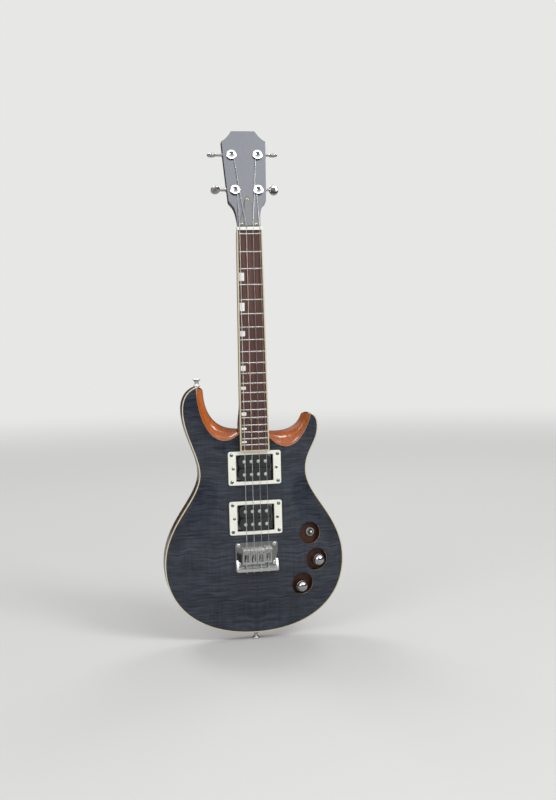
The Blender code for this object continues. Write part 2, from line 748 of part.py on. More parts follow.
def body_tools():
    """Everything that is cut from the body, in groups."""
    front = [
        scoop_tool("left cutaway", LEFT_VENEER_EDGE, LEFT_SCOOP_RIM, 1),
        scoop_tool("right cutaway", RIGHT_VENEER_EDGE, RIGHT_SCOOP_RIM, -1),
        pickup_rout_tool("neck pickup rout", NECK_PICKUP_AT),
        pickup_rout_tool("bridge pickup rout", BRIDGE_PICKUP_AT),
        pocket_tool("switch pocket", SWITCH_AT),
        pocket_tool("volume pocket", VOLUME_AT),
        pocket_tool("tone pocket", TONE_AT),
    ]
    mortise_half = board_half(TENON_END) + SEAM
    mortise = box_outline(mortise_half, -(TENON_END + SEAM), -MORTISE_TOP)
    front.append(prism("mortise", mortise, TENON_FLOOR - SEAM, CUTTER_REACH, None))
    above_joint = box_outline(mortise_half - 0.0005, -NECK_JOINT, -MORTISE_TOP + CUTTER_REACH)
    cover = REAR_COVER + SEAM
    rear = [
        prism("gap above neck joint", above_joint, BACK - CUTTER_REACH, TENON_FLOOR + 0.005, None),
        prism("control cavity", cavity_outline(), BACK - 0.01, -CAVITY_ROOF, None),
        prism("cover recess", cavity_outline(CAVITY_LEDGE), BACK - 0.011, BACK + cover, None),
        rear_pocket_tool("switch seat", SWITCH_AT, SWITCH_SHIFT),
        rear_pocket_tool("volume seat", VOLUME_AT, VOLUME_SHIFT),
        rear_pocket_tool("tone seat", TONE_AT, TONE_SHIFT),
        turned(
            "jack hole",
            [
                (0, -0.026),
                (JACK_BODY_RADIUS + 0.001, -0.026),
                (JACK_BODY_RADIUS + 0.001, -JACK_RECESS - 0.002),
                (JACK_PLATE_RADIUS + SEAM, -JACK_RECESS),
                (JACK_PLATE_RADIUS + SEAM, 0.01),
                (0, 0.01),
            ],
            None,
            side_frame(),
        ),
    ]
    for name, frame in strap_frames().items():
        seat = STRAP_FOOT_RADIUS + SEAM
        profile = [(0, -STRAP_SEAT), (seat, -STRAP_SEAT), (seat, 0.02), (0, 0.02)]
        rear.append(turned(f"{name} strap seat", profile, None, frame, 16))
    return front, rear


def body_pieces():
    """The mahogany body, its flamed veneer and the binding round its edge."""
    front, rear = body_tools()
    rim = close_over_cutaways(RIM_PATH)
    inner = close_over_cutaways(inset(RIM_PATH, BINDING_WIDTH + SEAM))
    ledge = RIM - BINDING_HEIGHT - SEAM
    rounded = close_over_cutaways(inset(RIM_PATH, BACK_ROUNDING * 0.3))
    flat = close_over_cutaways(inset(RIM_PATH, BACK_ROUNDING))

    def level(outline, height):
        return [(*point, height) for point in outline]

    rings = [
        level(flat, BACK),
        level(rounded, BACK + BACK_ROUNDING * 0.3),
        level(rim, BACK + BACK_ROUNDING),
        level(rim, ledge),
        level(inner, ledge),
    ]
    rings += carved_rings(inner, FACE_VENEER + SEAM)
    body = skin("body", rings, mahogany("body mahogany"))
    for tool in front + rear:
        boolean(body, tool)

    under = carved_rings(inner, FACE_VENEER)
    over = carved_rings(inner, 0.0)
    maple = finish("flamed maple", (0.03, 0.035, 0.05), 0.12)
    veneer = skin("maple_top", list(reversed(under)) + over, maple)
    for tool in front:
        boolean(veneer, tool)

    outer = RIM_PATH
    inside = inset(RIM_PATH, BINDING_WIDTH)
    sections = []
    for edge, inward in zip(outer, inside):
        low = RIM - BINDING_HEIGHT
        sections.append([(*edge, low), (*edge, RIM), (*inward, RIM), (*inward, low)])
    binding = skin("body_binding", sections, cream("body binding cream"))
    for tool in front[:2]:
        boolean(binding, tool)
    for tool in rear[-3:]:
        boolean(binding, tool)


def neck_section(below, front, depth, squareness, half=None):
    """One section of the neck: flat under the fretboard, round behind, squarer towards the heel."""
    half = board_half(below) if half is None else half
    steps = 14
    section = []
    for step in range(steps + 1):
        angle = math.pi * step / steps
        across = abs(math.cos(angle)) ** (2 / squareness) * (1 if angle <= math.pi / 2 else -1)
        down = abs(math.sin(angle)) ** (2 / squareness)
        section.append((half * across, -below, front - depth * down))
    return section


def head_outline():
    """The headstock's outline: a slim foot, swept shoulders, flaring sides and a clipped top."""
    right = cubic(
        (
            (HEAD_FOOT_HALF, -0.0040),
            (HEAD_FOOT_HALF, HEAD_THROAT_ALONG * 0.5),
            (HEAD_FOOT_HALF + 0.0004, HEAD_THROAT_ALONG * 0.8),
            (HEAD_THROAT_HALF, HEAD_THROAT_ALONG),
        ),
        3,
    )
    right += cubic(
        (
            (HEAD_THROAT_HALF, HEAD_THROAT_ALONG),
            (HEAD_THROAT_HALF + 0.0020, HEAD_THROAT_ALONG + 0.0075),
            (HEAD_SHOULDER_HALF - 0.0012, HEAD_SHOULDER_ALONG - 0.0040),
            (HEAD_SHOULDER_HALF, HEAD_SHOULDER_ALONG),
        ),
        5,
    )
    right += cubic(
        (
            (HEAD_SHOULDER_HALF, HEAD_SHOULDER_ALONG),
            (HEAD_SHOULDER_HALF + 0.0012, HEAD_SHOULDER_ALONG + 0.0220),
            (HEAD_CORNER_HALF - 0.0012, HEAD_CORNER_ALONG - 0.0300),
            (HEAD_CORNER_HALF, HEAD_CORNER_ALONG),
        ),
        3,
    )
    right += cubic(
        (
            (HEAD_CORNER_HALF, HEAD_CORNER_ALONG),
            (HEAD_CORNER_HALF - 0.0062, HEAD_CORNER_ALONG + 0.0032),
            (HEAD_TOP_HALF + 0.0040, HEAD_LENGTH - 0.0066),
            (HEAD_TOP_HALF, HEAD_LENGTH),
        ),
        4,
        last=True,
    )
    left = [point * (-1, 1) for point in reversed(right)]
    return right + left


def post_places():
    """Each tuner's name with its post's place on the headstock's face and the side it is on."""
    return {
        "lower_left": (-POST_LOWER[0], POST_LOWER[1], -1),
        "upper_left": (-POST_UPPER[0], POST_UPPER[1], -1),
        "upper_right": (POST_UPPER[0], POST_UPPER[1], 1),
        "lower_right": (POST_LOWER[0], POST_LOWER[1], 1),
    }


def post_hole_tools():
    tools = []
    for name, (across, along, _) in post_places().items():
        radius = BUSHING_RADIUS + SEAM
        frame = HEAD_FRAME @ Matrix.Translation((across, along, 0))
        low, high = -HEAD_CUTTER_REACH, HEAD_CUTTER_REACH / 3
        profile = [(0, low), (radius, low), (radius, high), (0, high)]
        tools.append(turned(f"{name} post hole", profile, None, frame, 14))
    return tools


def neck_pieces():
    """Neck with its heel, tenon and headstock, the headstock's veneer, and the truss rod."""
    foot = HEAD_FOOT_HALF - 0.0004
    sections = [
        neck_section(-0.0240, NECK_FRONT - 0.0030, HEAD_THICKNESS - 0.0010, 2.6, foot),
        neck_section(-NUT_REAR, NECK_FRONT, NECK_DEPTH_NUT, 2.3, HEAD_FOOT_HALF),
        neck_section(-NUT_FRONT, NECK_FRONT, NECK_DEPTH_NUT, 2.3),
        neck_section(NECK_MIDDLE, NECK_FRONT, (NECK_DEPTH_NUT + NECK_DEPTH_HEEL) / 2, 2.3),
        neck_section(HEEL_START - 0.0150, NECK_FRONT, NECK_DEPTH_HEEL, 2.4),
        neck_section(HEEL_START, NECK_FRONT, NECK_DEPTH_HEEL + 0.0010, 2.6),
    ]
    rises = 4
    for step in range(1, rises + 1):
        share = step / rises
        smooth = share * share * (3 - 2 * share)
        below = HEEL_START + (HEEL_FULL - HEEL_START) * share
        depth = NECK_DEPTH_HEEL + (HEEL_DEPTH - NECK_DEPTH_HEEL) * smooth
        sections.append(neck_section(below, NECK_FRONT, depth, 2.6 + 3.4 * smooth))
    sections.append(neck_section(TENON_END, NECK_FRONT, HEEL_DEPTH, 6.0))
    neck = skin("neck", sections, mahogany("neck mahogany"))

    outline = head_outline()
    wood_face = -(HEAD_VENEER + SEAM)
    head = prism("headstock block", outline, -HEAD_THICKNESS, wood_face, None, HEAD_FRAME)
    boolean(neck, head, "UNION")
    seat = box_outline(3 * HEAD_FOOT_HALF, -TENON_END - CUTTER_REACH, NUT_REAR + SEAM)
    boolean(neck, prism("board and nut seat", seat, NECK_FRONT, 2 * CUTTER_REACH, None))
    channel = prism(
        "truss rod channel",
        box_outline(TRUSS_CHANNEL_WIDTH / 2, -TRUSS_ROD_END - SEAM, NUT_REAR + 0.0260),
        NECK_FRONT - TRUSS_CHANNEL_DEPTH,
        0.01,
        None,
    )
    boolean(neck, channel)

    veneer_outline = [(x, max(y, 0.0)) for x, y in outline]
    dark = finish("head veneer", (0.03, 0.035, 0.05), 0.10)
    veneer = prism("headstock_veneer", veneer_outline, -HEAD_VENEER, 0, dark, HEAD_FRAME)
    boolean(veneer, channel)
    for tool in post_hole_tools():
        boolean(neck, tool)
        boolean(veneer, tool)

    rod_height = NECK_FRONT - TRUSS_CHANNEL_DEPTH / 2
    rod_frame = FACE_FRAME @ Matrix.Translation((0, -TRUSS_ROD_END, rod_height))
    rod_frame = rod_frame @ Matrix.Rotation(-math.pi / 2, 4, "X")
    rod_length = TRUSS_ROD_END + NUT_REAR + 0.0100
    nut_start = rod_length - 0.0100
    socket = rod_length - 0.0060
    rod = [
        (0, 0),
        (TRUSS_ROD_RADIUS, 0),
        (TRUSS_ROD_RADIUS, nut_start),
        (TRUSS_ROD_RADIUS + 0.0004, nut_start),
        (TRUSS_ROD_RADIUS + 0.0004, rod_length),
        (0.0014, rod_length),
        (0.0014, socket),
        (0, socket),
    ]
    turned("truss_rod", rod, steel("truss rod steel"), rod_frame, FINE_TURN_STEPS)


def cover_piece():
    """The bell-shaped cover over the truss rod's end."""
    foot = (COVER_FOOT_HALF, 0.0006)
    side = cubic((foot, (COVER_FOOT_HALF - 0.0006, 0.0150), (0.0062, 0.0170), (0.0052, 0.0300)), 6)
    side += cubic(((0.0052, 0.0300), (0.0046, 0.0370), (0.0030, 0.0420), (0, COVER_LENGTH)), 4)
    outline = side + [np.array((0, COVER_LENGTH))] + [point * (-1, 1) for point in reversed(side)]
    prism(
        "truss_rod_cover",
        outline,
        SEAM,
        SEAM + COVER_THICKNESS,
        finish("cover black", (0.02, 0.02, 0.025), 0.2),
        HEAD_FRAME,
    )


def board_pieces():
    """Fretboard with its frets pressed in, the binding round three sides, and the nut."""
    inset_half = BOARD_BINDING + SEAM
    stations = [(-NUT_FRONT, 0.0)]
    arc_steps = 3
    for number in range(FRET_COUNT + 1):
        middle = fret_distance(number)
        for step in range(arc_steps + 1):
            angle = math.pi * step / arc_steps
            height = FRET_HEIGHT * math.sin(angle) ** 0.7 if 0 < step < arc_steps else 0.0
            stations.append((middle - FRET_WIDTH / 2 * math.cos(angle), height))
    stations.append((BOARD_LENGTH, 0.0))
    rings = []
    for below, height in stations:
        half = board_half(below) - inset_half
        corners = ((-half, -BOARD_THICKNESS), (half, -BOARD_THICKNESS), (half, height), (-half, height))
        rings.append([(across, -below, level) for across, level in corners])
    skin("fretboard", rings, finish("rosewood", (0.10, 0.04, 0.03), 0.45))

    end = BOARD_LENGTH + SEAM + BOARD_BINDING
    inner_end = BOARD_LENGTH + SEAM
    outline = [
        (-board_half(-NUT_FRONT), NUT_FRONT),
        (-board_half(end), -end),
        (board_half(end), -end),
        (board_half(-NUT_FRONT), NUT_FRONT),
        (board_half(-NUT_FRONT) - BOARD_BINDING, NUT_FRONT),
        (board_half(inner_end) - BOARD_BINDING, -inner_end),
        (-board_half(inner_end) + BOARD_BINDING, -inner_end),
        (-board_half(-NUT_FRONT) + BOARD_BINDING, NUT_FRONT),
    ]
    prism("fretboard_binding", outline, -BOARD_THICKNESS, 0, cream("board binding cream"))

    half = board_half(-NUT_FRONT)
    floor = NUT_HEIGHT - NUT_SLOT_DEPTH
    profile = [
        (-half, -BOARD_THICKNESS),
        (half, -BOARD_THICKNESS),
        (half, NUT_HEIGHT - 0.0006),
        (half - 0.0008, NUT_HEIGHT),
    ]
    for index in reversed(range(len(STRING_RADII))):
        middle = string_offset(index, STRING_PITCH_NUT)
        wide = STRING_RADII[index] + NUT_SLOT_CLEARANCE
        profile += [(middle + wide, NUT_HEIGHT), (middle + wide, floor)]
        profile += [(middle - wide, floor), (middle - wide, NUT_HEIGHT)]
    profile += [(-half + 0.0008, NUT_HEIGHT), (-half, NUT_HEIGHT - 0.0006)]
    rings = []
    for along in (NUT_FRONT + SEAM, NUT_REAR):
        rings.append([(across, along, height) for across, height in profile])
    skin("nut", rings, finish("nut white", (0.85, 0.84, 0.80), 0.3))


def ring_piece(name, below):
    """A pickup's cream mounting ring."""
    outer = rounded_box_outline(*RING_SIZE, RING_CORNER, (0, -below))
    inner = rounded_box_outline(*RING_OPENING, RING_CORNER / 3, (0, -below), 1)
    ring = prism(name, outer, FACE + SEAM, RING_TOP, cream(f"{name} cream"))
    boolean(ring, prism(f"{name} opening", inner, FACE - 0.01, RING_TOP + 0.01, None))


def pickup_piece(name, below):
    """A pickup: base and feet, two coils side by side, and two rows of pole screws."""
    top = RING_TOP + BOBBIN_PROUD
    coil_floor = top - BOBBIN_DEPTH
    base_floor = coil_floor - PICKUP_BASE_THICKNESS
    base = rounded_box_outline(*PICKUP_BASE_SIZE, 0.0010, (0, -below), 1)
    black = finish(f"{name} black", (0.01, 0.01, 0.012), 0.35)
    pickup = prism(name, base, base_floor, coil_floor + 0.0003, black)
    feet = rounded_box_outline(*PICKUP_FOOT_SIZE, 0.0010, (0, -below), 1)
    low = base_floor - PICKUP_FOOT_DROP
    boolean(pickup, prism(f"{name} feet", feet, low, base_floor + 0.0005, None), "UNION")
    for row in (-1, 1):
        coil = stadium_outline(*BOBBIN_SIZE, (0, -below + row * ROW_SPACING / 2))
        boolean(pickup, prism(f"{name} coil {row}", coil, coil_floor, top, None), "UNION")
    for row in (-1, 1):
        for index in range(len(STRING_RADII)):
            place = (string_offset(index, POLE_PITCH), -below + row * ROW_SPACING / 2)
            pole = circle_outline(POLE_RADIUS, place, 8)
            tool = prism(f"{name} pole {row} {index}", pole, coil_floor + 0.004, top + POLE_PROUD, None)
            boolean(pickup, tool, "UNION")


def saddle_places():
    """Across, and how far below the zero fret each saddle's crest lies."""
    places = []
    for index, forward in enumerate(SADDLE_STEP):
        places.append((string_offset(index, STRING_PITCH_SADDLE), SCALE_LENGTH + CREST_BACK - forward))
    return places


def bridge_pieces():
    """Base plate with its rear wall, four box saddles and their intonation screws."""
    middle = (0, -(BRIDGE_TOP_AT + BRIDGE_END) / 2)
    plate = prism(
        "bridge_plate",
        rounded_box_outline(*BRIDGE_SIZE, BRIDGE_CORNER, middle),
        FACE + SEAM,
        PLATE_TOP,
        chrome("bridge chrome"),
    )
    wall_front = BRIDGE_END - BRIDGE_WALL
    wall_top = PLATE_TOP + BRIDGE_WALL_HEIGHT
    wall_half = BRIDGE_SIZE[0] / 2 - 0.0002
    wall_middle = -(BRIDGE_END + wall_front) / 2 + 0.0001
    wall = rounded_box_outline(2 * wall_half, BRIDGE_WALL, 0.0015, (0, wall_middle), 1)
    boolean(plate, prism("bridge wall", wall, PLATE_TOP - 0.0008, wall_top, None), "UNION")
    low = PLATE_TOP - 0.0007
    cheek_shape = [
        (wall_front + 0.0010, low),
        (wall_front + 0.0010, wall_top - 0.0004),
        (wall_front - 0.0020, wall_top - 0.0006),
        (wall_front - BRIDGE_CHEEK_LENGTH, wall_top - BRIDGE_CHEEK_DROP),
        (wall_front - BRIDGE_CHEEK_LENGTH, low),
    ]
    for side in (-1, 1):
        outer = side * (wall_half - 0.0003)
        rings = []
        for across in (outer, outer - side * BRIDGE_CHEEK_WIDTH):
            rings.append([(across, -below, height) for below, height in cheek_shape])
        boolean(plate, skin(f"bridge cheek {side}", rings, None), "UNION")

    screw_height = PLATE_TOP + SCREW_HEIGHT
    for index, (across, crest) in enumerate(saddle_places()):
        number = index + 1
        half = STRING_PITCH_SADDLE / 2 - SADDLE_GAP / 2
        low = PLATE_TOP + SEAM
        tail = crest + SADDLE_LENGTH - SADDLE_NOSE
        shape = [
            (crest - SADDLE_NOSE, low),
            (crest - SADDLE_NOSE, CREST_HEIGHT - 0.0030),
            (crest - SADDLE_NOSE * 0.4, CREST_HEIGHT - 0.0007),
            (crest, CREST_HEIGHT),
            (crest + 0.0016, CREST_HEIGHT - 0.0007),
            (crest + 0.0060, CREST_HEIGHT - 0.0036),
            (tail, low + SADDLE_TAIL_HEIGHT),
            (tail, low),
        ]
        rings = []
        for side in (-half, half):
            rings.append([(across + side, -below, height) for below, height in shape])
        saddle = skin(f"saddle_{number}", rings, chrome(f"saddle {number} chrome"))
        slot_middle = (across, -(crest + SADDLE_SLOT_BACK))
        slot = rounded_box_outline(*SADDLE_SLOT, 0.0008, slot_middle, 1)
        boolean(saddle, prism(f"saddle slot {number}", slot, low - 0.002, 0.01, None))

        screw_frame = FACE_FRAME @ Matrix.Translation((across, -BRIDGE_END - SEAM, screw_height))
        screw_frame = screw_frame @ Matrix.Rotation(-math.pi / 2, 4, "X")
        bore = SCREW_RADIUS + SEAM
        reach = BRIDGE_END - tail + SEAM + SCREW_REACH
        bore_end = reach + 0.0012
        bore_profile = [(0, -0.004), (bore, -0.004), (bore, bore_end), (0, bore_end)]
        bore_tool = turned(f"screw bore {number}", bore_profile, None, screw_frame, 10)
        boolean(plate, bore_tool)
        boolean(saddle, bore_tool)
        hole_height = PLATE_TOP + STRING_HOLE_HEIGHT
        hole_frame = FACE_FRAME @ Matrix.Translation((across, -BRIDGE_END, hole_height))
        hole_frame = hole_frame @ Matrix.Rotation(-math.pi / 2, 4, "X")
        radius = STRING_HOLE_RADIUS
        hole_profile = [(0, -0.004), (radius, -0.004), (radius, 0.008), (0, 0.008)]
        boolean(plate, turned(f"string hole {number}", hole_profile, None, hole_frame, 8))
        screw = [
            (0, -SCREW_HEAD_LENGTH),
            (SCREW_HEAD_RADIUS, -SCREW_HEAD_LENGTH),
            (SCREW_HEAD_RADIUS, 0),
            (SCREW_RADIUS, 0),
            (SCREW_RADIUS, reach),
            (0, reach),
        ]
        turned(f"saddle_screw_{number}", screw, steel(f"saddle screw {number} steel"), screw_frame, 10)


def string_pieces():
    """Each string in one length: bridge wall, saddle, zero fret, nut, most of a turn round its post."""
    posts = ("lower_left", "upper_left", "upper_right", "lower_right")
    to_head = HEAD_FRAME.inverted() @ FACE_FRAME
    for index, radius in enumerate(STRING_RADII):
        across, crest = saddle_places()[index]
        over_crest = CREST_HEIGHT + SEAM + radius
        over_fret = FRET_HEIGHT + SEAM + radius
        at_nut = string_offset(index, STRING_PITCH_NUT)
        hole = PLATE_TOP + STRING_HOLE_HEIGHT
        wall_front = BRIDGE_END - BRIDGE_WALL
        points = [
            Vector((across, -BRIDGE_END - STRING_TAIL, hole)),
            Vector((across, -wall_front, hole)),
            Vector((across, -wall_front + 0.0010, hole)),
            Vector((across, -crest - STRING_BREAK_BEHIND, over_crest)),
            Vector((across, -crest, over_crest)),
            Vector((at_nut, 0, over_fret)),
            Vector((at_nut, NUT_REAR, over_fret)),
        ]
        post_across, post_along, side = post_places()[posts[index]]
        leave = to_head @ points[-1]
        wrap = POST_WAIST + SEAM + radius
        gap_x, gap_y = leave.x - post_across, leave.y - post_along
        start = math.atan2(gap_y, gap_x) - side * math.acos(wrap / math.hypot(gap_x, gap_y))
        height = WINDING_GAP + radius
        if posts[index].startswith("upper"):
            height = POST_CAP_FOOT - WINDING_GAP - radius
        for step in range(WINDING_STEPS + 1):
            angle = start - side * STRING_TURN * step / WINDING_STEPS
            spot = (post_across + wrap * math.cos(angle), post_along + wrap * math.sin(angle), height)
            points.append(to_head.inverted() @ Vector(spot))
        curve = bpy.data.curves.new(f"string_{index + 1}", "CURVE")
        curve.dimensions = "3D"
        curve.bevel_depth = radius
        curve.bevel_resolution = 0
        curve.use_fill_caps = True
        line = curve.splines.new("POLY")
        line.points.add(len(points) - 1)
        for slot, point in zip(line.points, points):
            slot.co = (*point, 1)
        curve.materials.append(steel(f"string {index + 1} steel"))
        obj = bpy.data.objects.new(f"string_{index + 1}", curve)
        bpy.context.scene.collection.objects.link(obj)
        obj.matrix_world = FACE_FRAME


def oval_paddle(name, frame):
    """A pillow-shaped oval: round ends, flat cheeks."""
    rings = []
    rows, columns = 5, 12
    for row in range(1, rows):
        lift = -math.cos(math.pi * row / rows)
        spread = math.sin(math.pi * row / rows) ** 0.5
        ring = []
        for column in range(columns):
            angle = 2 * math.pi * column / columns
            ring.append(
                (
                    BUTTON_HALF_WIDTH * spread * math.cos(angle),
                    BUTTON_HALF_THICKNESS * lift,
                    BUTTON_REACH + BUTTON_HALF_LENGTH * spread * math.sin(angle),
                )
            )
        rings.append(ring)
    return skin(name, rings, None, frame)


def tuner_pieces():
    """Four sealed tuners: housing, post, bushing on the face, and a button on the worm's shaft."""
    for name, (across, along, side) in post_places().items():
        post_frame = HEAD_FRAME @ Matrix.Translation((across, along, 0))
        dish = POST_CAP_FOOT + POST_DISH
        post = [
            (0, -POST_BOTTOM),
            (POST_RADIUS, -POST_BOTTOM),
            (POST_RADIUS, -0.0002),
            (POST_WAIST, 0.0001),
            (POST_WAIST, POST_CAP_FOOT),
            (POST_CAP_RADIUS, POST_CAP_FOOT),
            (POST_CAP_RADIUS, POST_CAP_FOOT + POST_CAP_EDGE),
            (POST_CAP_CROWN_RADIUS, POST_CAP_FOOT + POST_CAP_CROWN),
            (POST_RADIUS, dish),
            (POST_HOLE_RADIUS, dish),
            (POST_HOLE_RADIUS, dish - POST_HOLE_DEPTH),
            (0, dish - POST_HOLE_DEPTH),
        ]
        turned(f"tuner_post_{name}", post, chrome(f"post {name} chrome"), post_frame, 14)

        bore = POST_RADIUS + SEAM
        shank_end = -HEAD_THICKNESS + 0.0005
        radius = BUSHING_RADIUS
        bushing = [(bore, shank_end), (radius, shank_end), (radius, 0), (bore, 0), (bore, shank_end)]
        turned(f"tuner_bushing_{name}", bushing, chrome(f"bushing {name} chrome"), post_frame, 12)

        wide, long, deep = HOUSING_SIZE
        top = -HEAD_THICKNESS - SEAM
        middle = (across, along + HOUSING_SHIFT)
        outline = rounded_box_outline(wide, long, 0.0030, middle, 2)
        shrunk = rounded_box_outline(wide - 0.0020, long - 0.0020, 0.0026, middle, 2)
        rings = [
            [(x, y, top) for x, y in outline],
            [(x, y, top - deep + 0.0010) for x, y in outline],
            [(x, y, top - deep) for x, y in shrunk],
        ]
        housing = skin(f"tuner_housing_{name}", rings, chrome(f"housing {name} chrome"), HEAD_FRAME)
        post_bore = [(0, -POST_BOTTOM - SEAM), (bore, -POST_BOTTOM - SEAM), (bore, 0), (0, 0)]
        boolean(housing, turned(f"{name} post bore", post_bore, None, post_frame, 12))

        turn_out = Matrix.Rotation(side * math.pi / 2, 4, "Y")
        worm_frame = HEAD_FRAME @ Matrix.Translation((across, along + WORM_OFFSET, -WORM_DEPTH))
        worm_frame = worm_frame @ turn_out
        worm_bore = BUTTON_STEM_RADIUS + SEAM
        inner_end = -wide / 2 + 0.0030
        floor = inner_end - SEAM
        bore_profile = [(0, floor), (worm_bore, floor), (worm_bore, wide), (0, wide)]
        boolean(housing, turned(f"{name} worm bore", bore_profile, None, worm_frame, 10))

        button_frame = worm_frame @ Matrix.Rotation(BUTTON_REST_TURNS[name], 4, "Z")
        collar = wide / 2 + SEAM
        stem = [
            (0, inner_end),
            (BUTTON_STEM_RADIUS, inner_end),
            (BUTTON_STEM_RADIUS, collar),
            (BUTTON_STEM_RADIUS + 0.0014, collar),
            (BUTTON_STEM_RADIUS + 0.0014, collar + 0.0024),
            (BUTTON_STEM_RADIUS + 0.0002, collar + 0.0034),
            (BUTTON_STEM_RADIUS, BUTTON_REACH - BUTTON_HALF_LENGTH + 0.0015),
            (0, BUTTON_REACH - BUTTON_HALF_LENGTH + 0.0030),
        ]
        button = turned(f"tuner_button_{name}", stem, chrome(f"button {name} chrome"), button_frame, 8)
        boolean(button, oval_paddle(f"{name} paddle", button_frame), "UNION")


def knob_profile():
    """A domed knob on a wider skirt, bored from below for its shaft."""
    low = POCKET_BOTTOM + KNOB_LIFT
    bore = SHAFT_RADIUS + SEAM
    bore_top = POT_TOP - 0.0047 + SHAFT_LENGTH + SEAM
    skirt = low + KNOB_SKIRT_HEIGHT
    profile = [
        (0, bore_top),
        (bore, bore_top),
        (bore, low),
        (KNOB_SKIRT_RADIUS, low),
        (KNOB_SKIRT_RADIUS, skirt - 0.0006),
        (KNOB_SKIRT_RADIUS - 0.0006, skirt),
        (KNOB_RADIUS, skirt + 0.0002),
    ]
    shoulder = skirt + 0.0008
    steps = 4
    for step in range(steps):
        angle = math.pi / 2 * step / steps
        dome = (low + KNOB_HEIGHT - shoulder) * math.sin(angle)
        profile.append((KNOB_RADIUS * math.cos(angle), shoulder + dome))
    profile.append((0, low + KNOB_HEIGHT))
    return profile


def control_pieces():
    """Volume and tone: pot, shaft and knob each; and the three-way switch with its lever."""
    barrel_top = POCKET_BOTTOM + CONTROL_BARREL_PROUD
    bore = SHAFT_RADIUS + SEAM
    shaft_foot = POT_TOP - 0.0047
    for name, place, shift in (("volume", VOLUME_AT, VOLUME_SHIFT), ("tone", TONE_AT, TONE_SHIFT)):
        frame = control_frame(place, shift)
        pot = [
            (0, POT_TOP - POT_HEIGHT),
            (POT_RADIUS, POT_TOP - POT_HEIGHT),
            (POT_RADIUS, POT_TOP),
            (CONTROL_BARREL_RADIUS, POT_TOP),
            (CONTROL_BARREL_RADIUS, barrel_top),
            (bore, barrel_top),
            (bore, shaft_foot - SEAM),
            (0, shaft_foot - SEAM),
        ]
        turned(f"{name}_pot", pot, steel(f"{name} pot steel"), frame, 14)
        top = shaft_foot + SHAFT_LENGTH
        shaft = [(0, shaft_foot), (SHAFT_RADIUS, shaft_foot), (SHAFT_RADIUS, top), (0, top)]
        turned(f"{name}_shaft", shaft, steel(f"{name} shaft steel"), frame, 12)
        turned(f"{name}_knob", knob_profile(), chrome(f"{name} knob chrome"), frame)

    frame = control_frame(SWITCH_AT, SWITCH_SHIFT)
    top = POCKET_BOTTOM + SWITCH_BARREL_HEIGHT
    switch = [
        (0, POT_TOP - SWITCH_BODY_HEIGHT),
        (SWITCH_BODY_RADIUS, POT_TOP - SWITCH_BODY_HEIGHT),
        (SWITCH_BODY_RADIUS, POT_TOP),
        (CONTROL_BARREL_RADIUS, POT_TOP),
        (CONTROL_BARREL_RADIUS, top),
        (SWITCH_BORE, top),
        (SWITCH_BORE, -SWITCH_PIVOT_DEPTH - LEVER_BALL_RADIUS - SEAM),
        (0, -SWITCH_PIVOT_DEPTH - LEVER_BALL_RADIUS - SEAM),
    ]
    turned("switch_body", switch, steel("switch steel"), frame, 14)
    inner = CONTROL_BARREL_RADIUS + SEAM
    floor = POCKET_BOTTOM + SEAM
    nut = [
        (inner, floor),
        (SWITCH_NUT_RADIUS, floor),
        (SWITCH_NUT_RADIUS, floor + SWITCH_NUT_HEIGHT - 0.0005),
        (SWITCH_NUT_RADIUS - 0.0005, floor + SWITCH_NUT_HEIGHT),
        (inner, floor + SWITCH_NUT_HEIGHT),
        (inner, floor),
    ]
    turned("switch_nut", nut, chrome("switch nut chrome"), frame, 14)
    pivot = frame @ Matrix.Translation((0, 0, -SWITCH_PIVOT_DEPTH))
    lever = [(0, -LEVER_BALL_RADIUS)]
    for step in range(1, 4):
        angle = math.pi * step / 5
        lever.append((LEVER_BALL_RADIUS * math.sin(angle), -LEVER_BALL_RADIUS * math.cos(angle)))
    lever += [
        (LEVER_RADIUS, LEVER_BALL_RADIUS),
        (LEVER_RADIUS, LEVER_LENGTH * 0.55),
        (LEVER_TIP_RADIUS, LEVER_LENGTH * 0.80),
        (LEVER_TIP_RADIUS, LEVER_LENGTH * 0.92),
        (LEVER_TIP_RADIUS * 0.6, LEVER_LENGTH),
        (0, LEVER_LENGTH),
    ]
    turned("switch_lever", lever, chrome("switch lever chrome"), pivot, 12)


